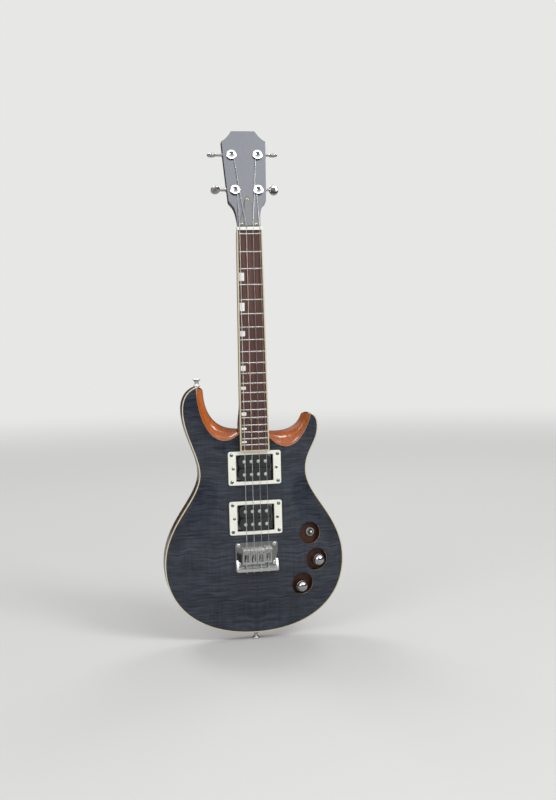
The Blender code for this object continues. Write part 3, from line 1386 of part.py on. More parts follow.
def fittings():
    """Rear cover, output jack with its plate, and both strap buttons."""
    prism(
        "control_cavity_cover",
        cavity_outline(CAVITY_LEDGE - SEAM),
        BACK,
        BACK + REAR_COVER,
        finish("rear cover black", (0.015, 0.015, 0.017), 0.4),
    )
    side = side_frame()
    low = -JACK_RECESS + SEAM
    hole = JACK_THREAD_RADIUS + SEAM
    plate = [
        (hole, low),
        (JACK_PLATE_RADIUS, low),
        (JACK_PLATE_RADIUS, low + JACK_PLATE - 0.0005),
        (JACK_PLATE_RADIUS - 0.0005, low + JACK_PLATE),
        (hole, low + JACK_PLATE),
        (hole, low),
    ]
    turned("jack_plate", plate, chrome("jack plate chrome"), side)
    jack = [
        (0, low - JACK_LENGTH),
        (JACK_BODY_RADIUS, low - JACK_LENGTH),
        (JACK_BODY_RADIUS, low - 0.0024),
        (JACK_THREAD_RADIUS, low - 0.0024),
        (JACK_THREAD_RADIUS, low + JACK_PLATE + JACK_PROUD),
        (JACK_BORE, low + JACK_PLATE + JACK_PROUD),
        (JACK_BORE, low - JACK_LENGTH + 0.0010),
        (0, low - JACK_LENGTH + 0.0010),
    ]
    turned("output_jack", jack, chrome("output jack chrome"), side, 14)
    for name, frame in strap_frames().items():
        foot = -STRAP_SEAT + SEAM
        button = [
            (0, foot),
            (STRAP_FOOT_RADIUS, foot),
            (STRAP_FOOT_RADIUS, foot + 0.0016),
            (STRAP_WAIST_RADIUS, foot + 0.0038),
            (STRAP_WAIST_RADIUS, foot + STRAP_HEIGHT - 0.0042),
            (STRAP_FLANGE_RADIUS, foot + STRAP_HEIGHT - 0.0018),
            (STRAP_FLANGE_RADIUS, foot + STRAP_HEIGHT - 0.0006),
            (STRAP_FLANGE_RADIUS - 0.0010, foot + STRAP_HEIGHT),
            (0, foot + STRAP_HEIGHT),
        ]
        turned(f"strap_button_{name}", button, chrome(f"strap button {name} chrome"), frame, 12)


def main():
    clear_scene()
    body_pieces()
    neck_pieces()
    cover_piece()
    board_pieces()
    for name, below in (("neck", NECK_PICKUP_AT), ("bridge", BRIDGE_PICKUP_AT)):
        ring_piece(f"{name}_pickup_ring", below)
        pickup_piece(f"{name}_pickup", below)
    bridge_pieces()
    string_pieces()
    tuner_pieces()
    control_pieces()
    fittings()


main()
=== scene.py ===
"""The looks of a solid-body electric tenor ukulele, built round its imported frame.

Lengths are in metres. A place on the instrument is given across (to the viewer's right), along (up
the strings from the zero fret) and out (towards the viewer from the fretboard's face).
"""

import json
import math

import bmesh
import bpy
import numpy as np
from bpy.props import FloatProperty, FloatVectorProperty, IntProperty, PointerProperty
from mathutils import Matrix, Vector

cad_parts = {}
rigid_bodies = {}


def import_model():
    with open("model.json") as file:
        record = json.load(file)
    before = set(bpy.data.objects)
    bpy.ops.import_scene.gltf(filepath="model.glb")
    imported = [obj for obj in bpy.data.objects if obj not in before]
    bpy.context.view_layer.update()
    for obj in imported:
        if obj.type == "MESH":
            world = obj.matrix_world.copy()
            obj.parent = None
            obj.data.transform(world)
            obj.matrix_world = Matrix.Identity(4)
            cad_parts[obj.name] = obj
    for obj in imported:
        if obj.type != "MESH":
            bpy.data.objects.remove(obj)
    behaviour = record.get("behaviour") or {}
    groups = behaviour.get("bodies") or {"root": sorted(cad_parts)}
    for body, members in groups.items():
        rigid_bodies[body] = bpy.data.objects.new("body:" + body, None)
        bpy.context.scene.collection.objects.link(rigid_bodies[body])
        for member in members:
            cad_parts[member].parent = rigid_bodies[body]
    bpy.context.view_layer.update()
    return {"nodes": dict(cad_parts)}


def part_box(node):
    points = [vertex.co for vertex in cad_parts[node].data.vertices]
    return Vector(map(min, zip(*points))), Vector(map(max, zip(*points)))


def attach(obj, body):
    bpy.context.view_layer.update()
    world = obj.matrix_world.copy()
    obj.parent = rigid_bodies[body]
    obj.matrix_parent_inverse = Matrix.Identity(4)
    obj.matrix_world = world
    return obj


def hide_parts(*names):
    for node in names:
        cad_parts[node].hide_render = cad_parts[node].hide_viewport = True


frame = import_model()

bl_info = {
    "name": "Electric Tenor Ukulele",
    "version": (1, 0, 0),
    "blender": (4, 5, 0),
    "location": "View3D > Sidebar > Ukulele",
    "description": "Builds the finished look of a solid-body tenor ukulele round its frame",
    "category": "Object",
}

# Shared
SEAM = 0.0003  # the gap between neighbouring pieces
SUPPORT = 0.00015  # the flat band inside a rounded edge, which keeps the flat beside it even
CORNER_SHARE = 0.45  # how much of a profile's side one rounded corner may take
CUTTER_REACH = 0.0200  # how far a cutter goes past what it cuts
SLOT_DEPTH = 0.85  # of a screw head's height
# A sunk screw head sits in a dark disc, painted shade for its countersink.
SCREW_SHADE_CUP = (0.0004, 0.0004)  # how much wider than its head, and how deep
SLOT_HALVES = {1: (0.14, 2.0), 2: (0.15, 0.62)}  # half width and length, for one slot or a cross
SCREWS = {  # each head's radius and height
    "cover": (0.0017, 0.0006),
    "ring": (0.0021, 0.0006),
    "pickup": (0.0018, 0.0006),
    "pole": (0.0023, 0.0004),
    "bridge": (0.0026, 0.0009),
    "saddle": (0.0021, 0.0005),
    "tuner": (0.0023, 0.0003),
    "rear": (0.0019, 0.0005),
    "jack": (0.0019, 0.0006),
    "strap": (0.0020, 0.0006),
}

# Strings and scale
SCALE_LENGTH = 0.4320
FRET_COUNT = 19
STRING_RADII = (0.0005, 0.0004, 0.00034, 0.0003)
STRING_KINDS = ("wound", "wound", "steel", "steel")
STRING_POSTS = ("lower_left", "upper_left", "upper_right", "lower_right")
NUT_PITCH = 0.0092
SADDLE_PITCH = 0.0103
POLE_PITCH = 0.0099
STRING_TAIL = 0.0016  # behind the bridge's wall
STRING_BENDS = (0.0010, 0.0025)  # in front of the wall, and behind the crest
WRAP_RISE = 0.00035
WRAP_TURN = math.radians(290)

# Neck and fretboard
NUT_HALF = 0.0176
BOARD_END_HALF = 0.0203
BOARD_LENGTH = -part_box("fretboard")[0].z
BOARD_THICKNESS = 0.0060
BOARD_BINDING = 0.0018
NUT_FRONT = 0.0048
NUT_REAR = 0.0095
FRET_HEIGHT = 0.0010
FRET_HALF_WIDTH = 0.0011
FRET_END = (0.0006, 0.25)  # the length of its slope, and the height left there
INLAY_DEPTH = 0.0003
INLAY_PROUD = 0.00004
SIDE_DOT = (0.0010, 0.0026)  # radius, and how far below the face
INLAY_HEIGHTS = {
    3: 0.0111,
    5: 0.0113,
    7: 0.0072,
    10: 0.0070,
    12: 0.0045,
    15: 0.0046,
    17: 0.0030,
    19: 0.0028,
}
SIDE_DOTS = ((3, 0.0), (5, 0.0), (7, 0.0), (10, 0.0), (12, -0.0030), (12, 0.0030))
NECK_FRONT = -(BOARD_THICKNESS + SEAM)
NECK_DEPTH_NUT = 0.0140
NECK_DEPTH_HEEL = 0.0170
HEEL_DEPTH = 0.0300
HEEL_START = BOARD_LENGTH - 0.0650
HEEL_FULL = BOARD_LENGTH - 0.0290
TENON_END = BOARD_LENGTH - 0.0015
NECK_SQUARENESS = 2.3
HEEL_SQUARENESS = 6.0

# Headstock
HEAD_TILT = math.radians(14)
HEAD_STEP = 0.0030
HEAD_THICKNESS = 0.0115
HEAD_VENEER = 0.0008
HEAD_LENGTH = 0.1378
HEAD_TOP_HALF = 0.0165
HEAD_CORNER = (0.0307, 0.1230)
HEAD_SHOULDER = (0.0261, 0.0370)
HEAD_THROAT = (0.0183, 0.0240)
HEAD_FOOT_HALF = 0.0161
HEAD_STOPS = (  # the right edge: a place, its arriving and leaving handles, and steps to the next
    ((HEAD_FOOT_HALF, 0), (0, 0), (0, 0.0120), 16),
    (HEAD_THROAT, (-0.0018, -0.0048), (0.0020, 0.0075), 24),
    (HEAD_SHOULDER, (-0.0012, -0.0040), (0.0012, 0.0220), 30),
    (HEAD_CORNER, (-0.0012, -0.0300), (-0.0062, 0.0032), 20),
    ((HEAD_TOP_HALF, HEAD_LENGTH), (0.0040, -0.0066), (0, 0), 0),
)
HEAD_EASING = 0.0280  # over which the neck's section becomes the headstock's
HEAD_SQUARENESS = 16
COVER_TOP = SEAM + 0.0014
COVER_CURVES = (
    ((0.0136, 0.0006), (0.0130, 0.0150), (0.0062, 0.0170), (0.0052, 0.0300)),
    ((0.0052, 0.0300), (0.0046, 0.0370), (0.0030, 0.0420), (0, 0.0435)),
)
COVER_SCREWS = ((0, 0.0392), (-0.0100, 0.0036), (0.0100, 0.0036))
POST_PLACES = {
    "lower_left": (-0.0160, 0.0523, -1),
    "upper_left": (-0.0182, 0.1031, -1),
    "upper_right": (0.0182, 0.1031, 1),
    "lower_right": (0.0160, 0.0523, 1),
}
POST_RADIUS = 0.0030
POST_WAIST = 0.0020
POST_CAP_RADIUS = 0.0071
POST_CAP_FOOT = 0.00205
POST_CAP_HEIGHT = 0.0005
POST_BORE = 0.0036
POST_BOTTOM = 0.0190
POST_HOLE = (-0.0300, 0.0100)  # from and to, through the headstock
BUSHING_RADIUS = 0.0042
HOUSING_SIZE = (0.0150, 0.0210, 0.0088)
HOUSING_SHIFT = 0.0030
HOUSING_CORNER = 0.0030
HOUSING_EDGE = 0.0011
WORM_NECK = (0.0021, 0.0036)  # its inner and outer radius
WORM_OFFSET = 0.0062
WORM_DEPTH = 0.0160
BUTTON_STEM_RADIUS = 0.0018
BUTTON_COLLAR = (0.0014, 0.0024, 0.0034)  # how far it stands out, and where its slope lies
BUTTON_REACH = 0.0247
BUTTON_HALF_LENGTH = 0.0066
BUTTON_HALF_WIDTH = 0.0078
BUTTON_HALF_THICKNESS = 0.0023
BUTTON_TURNS = {"upper_left": -10, "lower_left": 23, "upper_right": 14, "lower_right": 96}

# Body outline: half widths, and how far each point lies below the zero fret
BODY_END = -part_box("body")[0].z
BODY_END_HANDLE = 0.0745
LOWER_BOUT = (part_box("body")[1].x, 0.4540)
LOWER_BOUT_HANDLES = (0.0630, 0.0590)
WAIST = (0.0753, 0.3278)
WAIST_HANDLES = (0.0370, 0.0265)
LEFT_HORN = (0.0968, 0.2390)
LEFT_HORN_HANDLES = (0.0340, 0.0240)
LEFT_TIP = (-0.0745, -0.2072)
RIGHT_HORN = (0.0937, 0.2670)
RIGHT_HORN_HANDLES = (0.0230, 0.0140)
RIGHT_TIP = (0.0812, -0.2484)
TIP_ROUNDING = 0.0060
RIM_STEPS = (48, 48, 64, 88)  # along each curve, from a horn's tip down

# Body section, as places out from the fretboard's face
FACE = -0.0090
CARVE = 0.0110
RIM = FACE - CARVE
BACK = FACE - 0.0400
BACK_ROUNDING = 0.0040
FLAT_HALF_WIDTH = 0.0390
FLAT_TOP = 0.2860
FLAT_BOTTOM = 0.4700
FLAT_CORNER = 0.0120
FACE_VENEER = 0.0010
BINDING_WIDTH = 0.0013
BINDING_HEIGHT = 0.0036
BINDING_ROUNDING = 0.0004
BINDING_PROUD = 0.0001

# Cutaways
LEFT_VENEER_EDGE = ((-0.0772, -0.2060), (-0.0772, -0.2620), (-0.0515, -0.3000), (-0.0190, -0.2722))
LEFT_SCOOP_RIM = ((-0.0682, -0.2060), (-0.0676, -0.2470), (-0.0500, -0.2700), (-0.0190, -0.2708))
RIGHT_VENEER_EDGE = ((0.0848, -0.2485), (0.0770, -0.2765), (0.0528, -0.3152), (0.0190, -0.2765))
RIGHT_SCOOP_RIM = ((0.0815, -0.2450), (0.0762, -0.2690), (0.0560, -0.2805), (0.0190, -0.2745))
SCOOP_DROP = 0.0100
SCOOP_DROP_ENDS = 0.0020
SCOOP_BEND = 0.25
SCOOP_CLEARANCE = 0.0004
SCOOP_OUTWARD = (0.030, 0.085)
WALL_DRAFT = 0.0040
WALL_DRAFT_TIP = 0.0035
SCOOP_SECTIONS = 64
SCOOP_STEPS = 26
NECK_JOINT = 0.2690
MORTISE_TOP = 0.2000
GAP_INSET = 0.0002
GAP_RISE = 0.0050

# Pickups
PICKUP_PLACES = {
    name: -(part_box(f"{name}_pickup_ring")[0].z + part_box(f"{name}_pickup_ring")[1].z) / 2
    for name in ("neck", "bridge")
}
RING_SIZE = (0.0738, 0.0468)
RING_OPENING = (0.0520, 0.0367)
RING_CORNER = 0.0030
RING_TOP = FACE + SEAM + 0.0030
RING_EDGE = 0.0007
RING_SCREWS = (0.0323, 0.01875)
HEIGHT_SCREW = 0.0302
BOBBIN_SIZE = (0.0460, 0.0173)
BOBBIN_PROUD = 0.0010
BOBBIN_CAP = (0.0016, 0.0005)  # thickness and rounding
BOBBIN_HOLE = (0.0006, 0.0010)  # radius and depth
PICKUP_BLOCKS = (  # width, height, corner, both depths below the coils' tops, and the finish
    (0.0500, 0.0360, 0.0010, 0.0125, 0.0110, 3),
    (0.0690, 0.0120, 0.0010, 0.0165, 0.0122, 3),
    (0.0440, 0.0340, 0.0070, 0.0110, 0.0014, 1),
)
ROW_SPACING = 0.0180
POLE_PROUD = 0.0005
ROUT_FLOOR = FACE - 0.0170
ROUT_CLEARANCE = 0.0012

# Bridge
BRIDGE_END = -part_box("bridge_plate")[0].z
PLATE_TOP = FACE + SEAM + 0.0017
BRIDGE_WALL = 0.0040
CREST_BACK = 0.0018
CREST_HEIGHT = 0.0038
SADDLE_STEPS = (0, 0, 0, 0.0015)
STRING_HOLE_HEIGHT = 0.0062
HEIGHT_BOLT_PLACE = (0.0030, 0.0036, 0.0024)  # to each side, behind and below a saddle's crest
HEIGHT_BOLT = (
    (0, -0.0040),
    (0.0010, -0.0040),
    (0.0010, 0.0011),
    (0.0007, 0.0014),
    (0.0006, 0.0014),
    (0.0006, 0.0004),
    (0, 0.0004),
)
LENGTH_SCREW = (0.0012, 0.0012, 0.00012, 0.0006)  # head, thread's radius, depth and pitch
BRIDGE_SCREWS = ((-0.0254, 0.4280), (0.0254, 0.4280), (-0.0254, 0.4538), (0.0254, 0.4538))

# Controls
SWITCH_AT = (0.0776, -0.4171)
VOLUME_AT = (0.0866, -0.4549)
TONE_AT = (0.0654, -0.4880)
SWITCH_SHIFT = (0.0030, 0.0006)
VOLUME_SHIFT = (0.0028, -0.0010)
TONE_SHIFT = (-0.0012, -0.0034)
POCKET_RADIUS = 0.0157
POCKET_FLOOR = -0.0080
KNOB_SKIRT_RADIUS = 0.0081
KNOB_RADIUS = 0.0075
KNOB_LIFT = 0.0015
KNOB_HEIGHT = 0.0158
KNOB_SKIRT_HEIGHT = 0.0092
KNOB_SHOULDER = 0.0008
KNOB_EDGE = 0.0005
SWITCH_NUT_RADIUS = 0.0059
SWITCH_NUT_HEIGHT = 0.0026
BARREL_RADIUS = 0.0046
PIVOT_DEPTH = 0.0140
LEVER_LENGTH = 0.0135
LEVER_RADIUS = 0.0012
LEVER_TIP_RADIUS = 0.0021
LEVER_BALL = 0.0030
LEVER_SWELL = (0.45, 0.35)  # where its tip starts to swell, and over what share
LEVER_DOME = 0.86

# Rear cavity, jack and strap buttons
CAVITY_CENTRE = (0.0780, -0.4530)
CAVITY_HALF = (0.0310, 0.0560)
CAVITY_LEDGE = 0.0050
CAVITY_ROOF = -0.0300
REAR_COVER = 0.0020
REAR_SCREW_REACH = 0.0018  # past the cavity's edge
REAR_SCREW_TURNS = (90, 20, -20, -90, -160, 160)
JACK_PLATE_RADIUS = 0.0130
JACK_RECESS = 0.0012
JACK_THREAD = 0.0048
JACK_BORE = 0.0033
JACK_SCREW = 0.0092
JACK_PLATE = (0.0015, 0.0005)  # thickness and rounding
JACK_PROUD = 0.0022
JACK_BODY = (0.0075, 0.0240)  # radius and depth
JACK_HOLE = (0.0085, 0.0260)
JACK_NUT = (0.0068, 0.0018, 0.0004)  # radius, height and chamfer
STRAP_HEIGHT = 0.0115
STRAP_SEAT = 0.0008
STRAP_PROFILE = (
    (0, 0),
    (0.0046, 0),
    (0.0046, 0.0016),
    (0.0028, 0.0038),
    (0.0028, 0.0073),
    (0.0052, 0.0097),
    (0.0052, 0.0109),
    (0.0042, 0.0115),
    (0.0026, 0.0115),
    (0.0022, 0.0107),
    (0, 0.0107),
)

# Stage
FLOOR_RADIUS = 12
FLOOR_FADE = (0.9, 4.5)
SKY_TONES = ((0.0, 0.05), (0.30, 0.07), (0.62, 0.60), (1.0, 1.0))
LAMP_AIM = Vector((0.0, 0.0, -0.25))
LAMPS = (
    ("key", (1.3, -1.7, 1.1), 0.9, 27.0),
    ("head light", (0.47, -2.2, 1.66), 0.66, 5.6),
    ("left fill", (-1.5, -1.7, 0.7), 1.2, 14.0),
    ("rear left", (-0.8, 1.7, 1.7), 1.0, 15.0),
    ("rear right", (1.2, 1.7, 1.3), 1.0, 11.0),
)

# Camera, as it stood for the photograph
CAMERA_AIM = Vector((0.0338, 0.0, -0.2274))
CAMERA_SENSOR = 36.0
CAMERA_LENS = 74.12

FACE_FRAME = Matrix(((1, 0, 0, 0), (0, 0, -1, 0), (0, 1, 0, 0), (0, 0, 0, 1)))
HEAD_FRAME = (
    FACE_FRAME
    @ Matrix.Translation((0, NUT_REAR + SEAM, -HEAD_STEP))
    @ Matrix.Rotation(-HEAD_TILT, 4, "X")
)


# Surfaces --------------------------------------------------------------------------------------


class Shell:
    """Part of a piece: its points, its faces as lists of point numbers, and the finish it takes."""

    def __init__(self, points, faces, finish=0):
        self.points = np.asarray(points, float).reshape(-1, 3)
        self.faces = faces
        self.finish = finish

    def placed(self, matrix):
        """The same shell in another frame: each point times the frame's matrix."""
        return Shell(on(matrix, self.points), self.faces, self.finish)

    def at(self, *place):
        """The same shell at a place and turn, given as spot() takes them."""
        return self.placed(spot(*place))


def spot(x=0.0, y=0.0, z=0.0, turn=0.0, axis="Z"):
    """A frame at a place, turned about one of its axes."""
    return Matrix.Translation((x, y, z)) @ Matrix.Rotation(turn, 4, axis)


def on(matrix, points):
    """Points drawn in a frame, as points of the instrument: turn them, then shift them."""
    matrix = np.array(matrix)
    return np.asarray(points, float) @ matrix[:3, :3].T + matrix[:3, 3]


def level(outline, height):
    """An outline of (across, along) points lifted to one height."""
    return np.column_stack((outline, np.full(len(outline), height)))


def eased(share):
    """A share of the way, held between 0 and 1 and smooth at both ends: s s (3 - 2s)."""
    share = np.clip(share, 0, 1)
    return share * share * (3 - 2 * share)


def grid(rows, loop=False, fan=False, finish=0):
    """A surface through rows of points: one four-sided face between neighbours in both directions.

    Loop joins the last row to the first. Without it both end rows are closed, each with one flat
    face or with a fan of triangles.
    """
    rows = np.asarray(rows, float)
    count, width = rows.shape[:2]
    index = np.arange(count * width).reshape(count, width)
    index = np.hstack((index, index[:, :1]))
    if loop:
        index = np.vstack((index, index[:1]))
    corners = (index[:-1, :-1], index[:-1, 1:], index[1:, 1:], index[1:, :-1])
    faces = np.stack(corners, -1).reshape(-1, 4).tolist()
    for end in [] if loop else (index[0, :width][::-1], index[-1, :width]):
        if fan:
            root = np.full(width - 2, end[-1])
            faces += np.column_stack((root, end[:-2], end[1:-1])).tolist()
        else:
            faces.append(end.tolist())
    return Shell(rows, faces, finish)


def turned(profile, steps=48, ring=False, finish=0, groove=0.0):
    """A profile of (radius, height) points turned about the third axis: (r cos a, r sin a, h).

    Groove is taken from the radius: one number, or a row of numbers round each profile point.
    """
    profile = np.asarray(profile, float)
    angle = np.linspace(0, 2 * math.pi, steps, endpoint=False)
    radius, height = profile[:, :1] - groove, profile[:, 1:] + 0 * angle
    rows = np.stack((radius * np.cos(angle), radius * np.sin(angle), height), axis=-1)
    return grid(rows, loop=ring, finish=finish)


def ridges(shares, count, depth, steps):
    """Grooves round a turned piece: d s (1 - |cos(n a / 2)|), s each profile point's share."""
    angle = np.linspace(0, 2 * math.pi, steps, endpoint=False)
    return np.array(shares)[:, None] * depth * (1 - np.abs(np.cos(count * angle / 2)))


def disc(radius, low, high, steps=32, finish=0):
    """A plain cylinder."""
    return turned(((0, low), (radius, low), (radius, high), (0, high)), steps, finish=finish)


def rounded(profile, radius, steps=4):
    """A profile with each inner corner cut by a short curve: weights (1-t)^2, 2t(1-t), t^2."""
    profile = np.asarray(profile, float)
    corner = profile[1:-1]
    back, ahead = profile[:-2] - corner, profile[2:] - corner
    start, end = (
        corner + way * np.minimum(radius / np.linalg.norm(way, axis=1, keepdims=True), CORNER_SHARE)
        for way in (back, ahead)
    )
    t = np.linspace(0, 1, steps + 1)[None, :, None]
    start, middle, end = start[:, None], corner[:, None], end[:, None]
    curves = (1 - t) ** 2 * start + 2 * t * (1 - t) * middle + t**2 * end
    return np.vstack((profile[:1], curves.reshape(-1, 2), profile[-1:]))


def grown(outline, distance):
    """A closed outline moved out by a distance, square to itself, with mitred corners."""
    outline = np.asarray(outline, float)
    edge = np.roll(outline, -1, axis=0) - outline
    edge /= np.maximum(np.linalg.norm(edge, axis=1, keepdims=True), 1e-9)
    normal = np.column_stack((edge[:, 1], -edge[:, 0]))
    both = normal + np.roll(normal, 1, axis=0)
    both /= np.maximum((both * both).sum(1, keepdims=True) / 2, 0.5)
    return outline + distance * both


def rounding(edge, steps):
    """How far a rounded edge is drawn in, edge (1 - cos a), and lifted, edge sin a."""
    angle = np.linspace(0, math.pi / 2, steps + 1)
    inset = np.append(edge * (1 - np.cos(angle)), edge + SUPPORT)
    return list(zip(inset, np.append(edge * np.sin(angle), edge)))


def plate(outline, low, high, edge=0.0003, finish=0, steps=3):
    """A flat plate with rounded edges."""
    edges = [(grown(outline, -inset), lift) for inset, lift in rounding(edge, steps)]
    rows = [level(line, low + edge - lift) for line, lift in edges[::-1]]
    rows += [level(line, high - edge + lift) for line, lift in edges]
    return grid(rows, finish=finish)


def open_plate(outer, inner, low, high, edge):
    """A plate with a hole: its section, with rounded upper edges, carried round both outlines."""
    edges = rounding(edge, 3)
    rows = [level(outer, low)]
    rows += [level(grown(outer, -inset), high - edge + lift) for inset, lift in edges]
    rows += [level(grown(inner, inset), high - edge + lift) for inset, lift in edges[::-1]]
    return grid([*rows, level(inner, low)], loop=True)


def rounded_box(width, height, corner, centre=(0, 0), steps=8):
    """A rectangle's outline with quarter-circle corners, anticlockwise from the upper right."""
    turn = np.linspace(0, math.pi / 2, steps + 1)
    angle = (np.arange(4)[:, None] * math.pi / 2 + turn).ravel()
    side = np.repeat(np.array(((1, 1), (-1, 1), (-1, -1), (1, -1))), steps + 1, axis=0)
    middle = side * (np.array((width, height)) / 2 - corner) + np.asarray(centre, float)
    return middle + corner * np.column_stack((np.cos(angle), np.sin(angle)))


def rectangle(half, low, high):
    """A rectangle's outline, as far to the left as to the right."""
    return ((-half, low), (half, low), (half, high), (-half, high))


def cavity_outline(growth=0.0):
    """The rear cavity's ellipse, made larger all round by a growth."""
    angle = np.linspace(0, 2 * math.pi, 96, endpoint=False)
    return CAVITY_CENTRE + (np.array(CAVITY_HALF) + growth) * np.column_stack(
        (np.cos(angle), np.sin(angle))
    )


def cubic(ends, steps):
    """A cubic curve at even shares t: weights (1-t)^3, 3t(1-t)^2, 3t^2(1-t) and t^3."""
    t = np.linspace(0, 1, steps + 1)[:, None]
    p0, p1, p2, p3 = np.asarray(ends, float)
    return (1 - t) ** 3 * p0 + 3 * (1 - t) ** 2 * t * p1 + 3 * (1 - t) * t**2 * p2 + t**3 * p3


def chain(*curves):
    """Curves joined end to start, each shared point kept once."""
    return np.vstack([curves[0], *(curve[1:] for curve in curves[1:])])


def both_sides(side, shared=0):
    """An outline of a right side and its mirror image; shared points are left out of the second."""
    return np.vstack((side, (side * (-1, 1))[::-1][shared:]))


def tube(path, radius, sides):
    """A round rod along a path, each circle square to the path's direction."""
    ahead = np.gradient(path, axis=0)
    ahead /= np.linalg.norm(ahead, axis=1, keepdims=True)
    side = np.cross(ahead, np.array((0.0, -1.0, 0.0)))
    side /= np.linalg.norm(side, axis=1, keepdims=True)
    up = np.cross(side, ahead)
    angle = np.linspace(0, 2 * math.pi, sides, endpoint=False)[None, :, None]
    circle = np.cos(angle) * side[:, None] + np.sin(angle) * up[:, None]
    return grid(path[:, None] + radius * circle)


def screw_head(kind, slots=2, finish=0):
    """A low dome h (1 - (0.9 r)^2), sunk where a point lies in a straight slot across it."""
    radius, height = SCREWS[kind]
    share = np.concatenate((np.linspace(0, 0.92, 12), (1.0, 1.0)))[:, None]
    angle = np.linspace(0, 2 * math.pi, 48, endpoint=False)
    across, along = share * np.cos(angle), share * np.sin(angle)
    width, length = SLOT_HALVES[slots]
    in_slot = (np.abs(across) < width) & (np.abs(along) < length)
    if slots == 2:
        in_slot |= (np.abs(along) < width) & (np.abs(across) < length)
    out = height * (1 - (0.9 * share) ** 2 - SLOT_DEPTH * in_slot)
    out[-1] = -height
    rows = np.stack((radius * across, radius * along, out), axis=-1)
    return grid(rows[::-1], finish=finish)


# Pieces ----------------------------------------------------------------------------------------


def mesh_of(shells, kinds, matrix=FACE_FRAME, triangles=False):
    """One mesh of shells in a frame, with the named finishes; coincident points are merged."""
    shells = [shells] if isinstance(shells, Shell) else shells
    starts = np.cumsum([0] + [len(shell.points) for shell in shells])
    faces = [
        [number + start for number in face]
        for shell, start in zip(shells, starts)
        for face in shell.faces
    ]
    mesh = bpy.data.meshes.new("shells")
    points = np.concatenate([shell.points for shell in shells])
    mesh.from_pydata(on(matrix, points).tolist(), [], faces)
    numbers = np.repeat([shell.finish for shell in shells], [len(shell.faces) for shell in shells])
    mesh.polygons.foreach_set("material_index", numbers.astype(np.int32))
    for kind in kinds.split():
        mesh.materials.append(finish(kind))
    shape = bmesh.new()
    shape.from_mesh(mesh)
    bmesh.ops.remove_doubles(shape, verts=shape.verts, dist=1e-7)
    bmesh.ops.recalc_face_normals(shape, faces=shape.faces)
    if triangles:
        bent = [face for face in shape.faces if len(face.verts) == 4]
        bmesh.ops.triangulate(shape, faces=bent)
    shape.to_mesh(mesh)
    shape.free()
    return mesh


def add_object(name, data):
    obj = bpy.data.objects.new(name, data)
    bpy.context.scene.collection.objects.link(obj)
    return obj


def cut(mesh, tools):
    """The mesh with every tool's solid taken out of it at once; a cut takes its tool's finish."""
    bpy.context.view_layer.update()
    blank = add_object("blank", mesh)
    box = bpy.data.collections.new("tools")
    bpy.context.scene.collection.children.link(box)
    for tool in tools:
        box.objects.link(bpy.data.objects.new("tool", tool))
    modifier = blank.modifiers.new("cut", "BOOLEAN")
    modifier.operand_type = "COLLECTION"
    modifier.collection = box
    modifier.solver = "EXACT"
    modifier.material_mode = "TRANSFER"
    graph = bpy.context.evaluated_depsgraph_get()
    made = bpy.data.meshes.new_from_object(blank.evaluated_get(graph), depsgraph=graph)
    for obj in (blank, *box.objects):
        bpy.data.objects.remove(obj)
    bpy.data.collections.remove(box)
    if len(made.polygons) < 4:
        raise RuntimeError("a cut left nothing of its piece")
    return made


def piece(name, mesh, nodes="", body="instrument", sharp=32):
    """Shows a mesh as a finished piece: smooth but for sharp edges, riding on its body."""
    mesh.name = name
    mesh.shade_smooth()
    mesh.set_sharp_from_angle(angle=math.radians(sharp))
    obj = add_object(name, mesh)
    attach(obj, body)
    if nodes:
        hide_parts(*nodes.split())
    return obj


def show(name, shells, kinds, nodes="", matrix=FACE_FRAME, body="instrument", sharp=32):
    """Shows shells drawn in a frame as a finished piece."""
    return piece(name, mesh_of(shells, kinds, matrix), nodes, body, sharp)


def softened(node, kinds, edge, body="instrument"):
    """A copy of a CAD node's own shape, its points merged, flats joined, and its edges rounded.

    A second, brighter finish goes on the rounded edges and on what stands above the bridge's plate,
    as a painted highlight.
    """
    mesh = frame["nodes"][node].data.copy()
    shape = bmesh.new()
    shape.from_mesh(mesh)
    bmesh.ops.remove_doubles(shape, verts=shape.verts, dist=1e-6)
    bmesh.ops.dissolve_limit(
        shape, angle_limit=math.radians(1), verts=shape.verts, edges=shape.edges
    )
    bmesh.ops.recalc_face_normals(shape, faces=shape.faces)
    shape.to_mesh(mesh)
    shape.free()
    mesh.materials.clear()
    for kind in kinds.split():
        mesh.materials.append(finish(kind))
    # The second finish marks the raised wall and cheeks, and through the bevel the rounded edges,
    # as a painted highlight.
    two = len(mesh.materials) > 1
    if two:
        centres = np.empty(3 * len(mesh.polygons))
        mesh.polygons.foreach_get("center", centres)
        above = -centres[1::3] > PLATE_TOP + 0.0005
        mesh.polygons.foreach_set("material_index", above.astype(np.int32))
    bevel = piece(f"{node}_finished", mesh, node, body).modifiers.new("edges", "BEVEL")
    bevel.width = edge
    bevel.segments = 2
    bevel.limit_method = "ANGLE"
    bevel.angle_limit = math.radians(40)
    bevel.harden_normals = True
    bevel.material = 1 if two else -1


# The body's form -------------------------------------------------------------------------------


def rim_side(side, tip, horn, horn_handles):
    """One side of the rim as cubic curves, from its horn's tip down to the body's end."""
    start, leave, curves = tip, (tip[0] + side * TIP_ROUNDING, tip[1]), []
    stops = ((horn, horn_handles), (WAIST, WAIST_HANDLES), (LOWER_BOUT, LOWER_BOUT_HANDLES))
    for ((half, below), (down, up)), steps in zip(stops, RIM_STEPS):
        end = (side * half, -below)
        curves.append(cubic((start, leave, (side * half, up - below), end), steps))
        start, leave = end, (side * half, -below - down)
    last = ((side * BODY_END_HANDLE, -BODY_END), (0, -BODY_END))
    return chain(*curves, cubic((start, leave, *last), RIM_STEPS[-1]))


RIM_PATH = chain(
    rim_side(-1, LEFT_TIP, LEFT_HORN, LEFT_HORN_HANDLES),
    rim_side(1, RIGHT_TIP, RIGHT_HORN, RIGHT_HORN_HANDLES)[::-1],
)


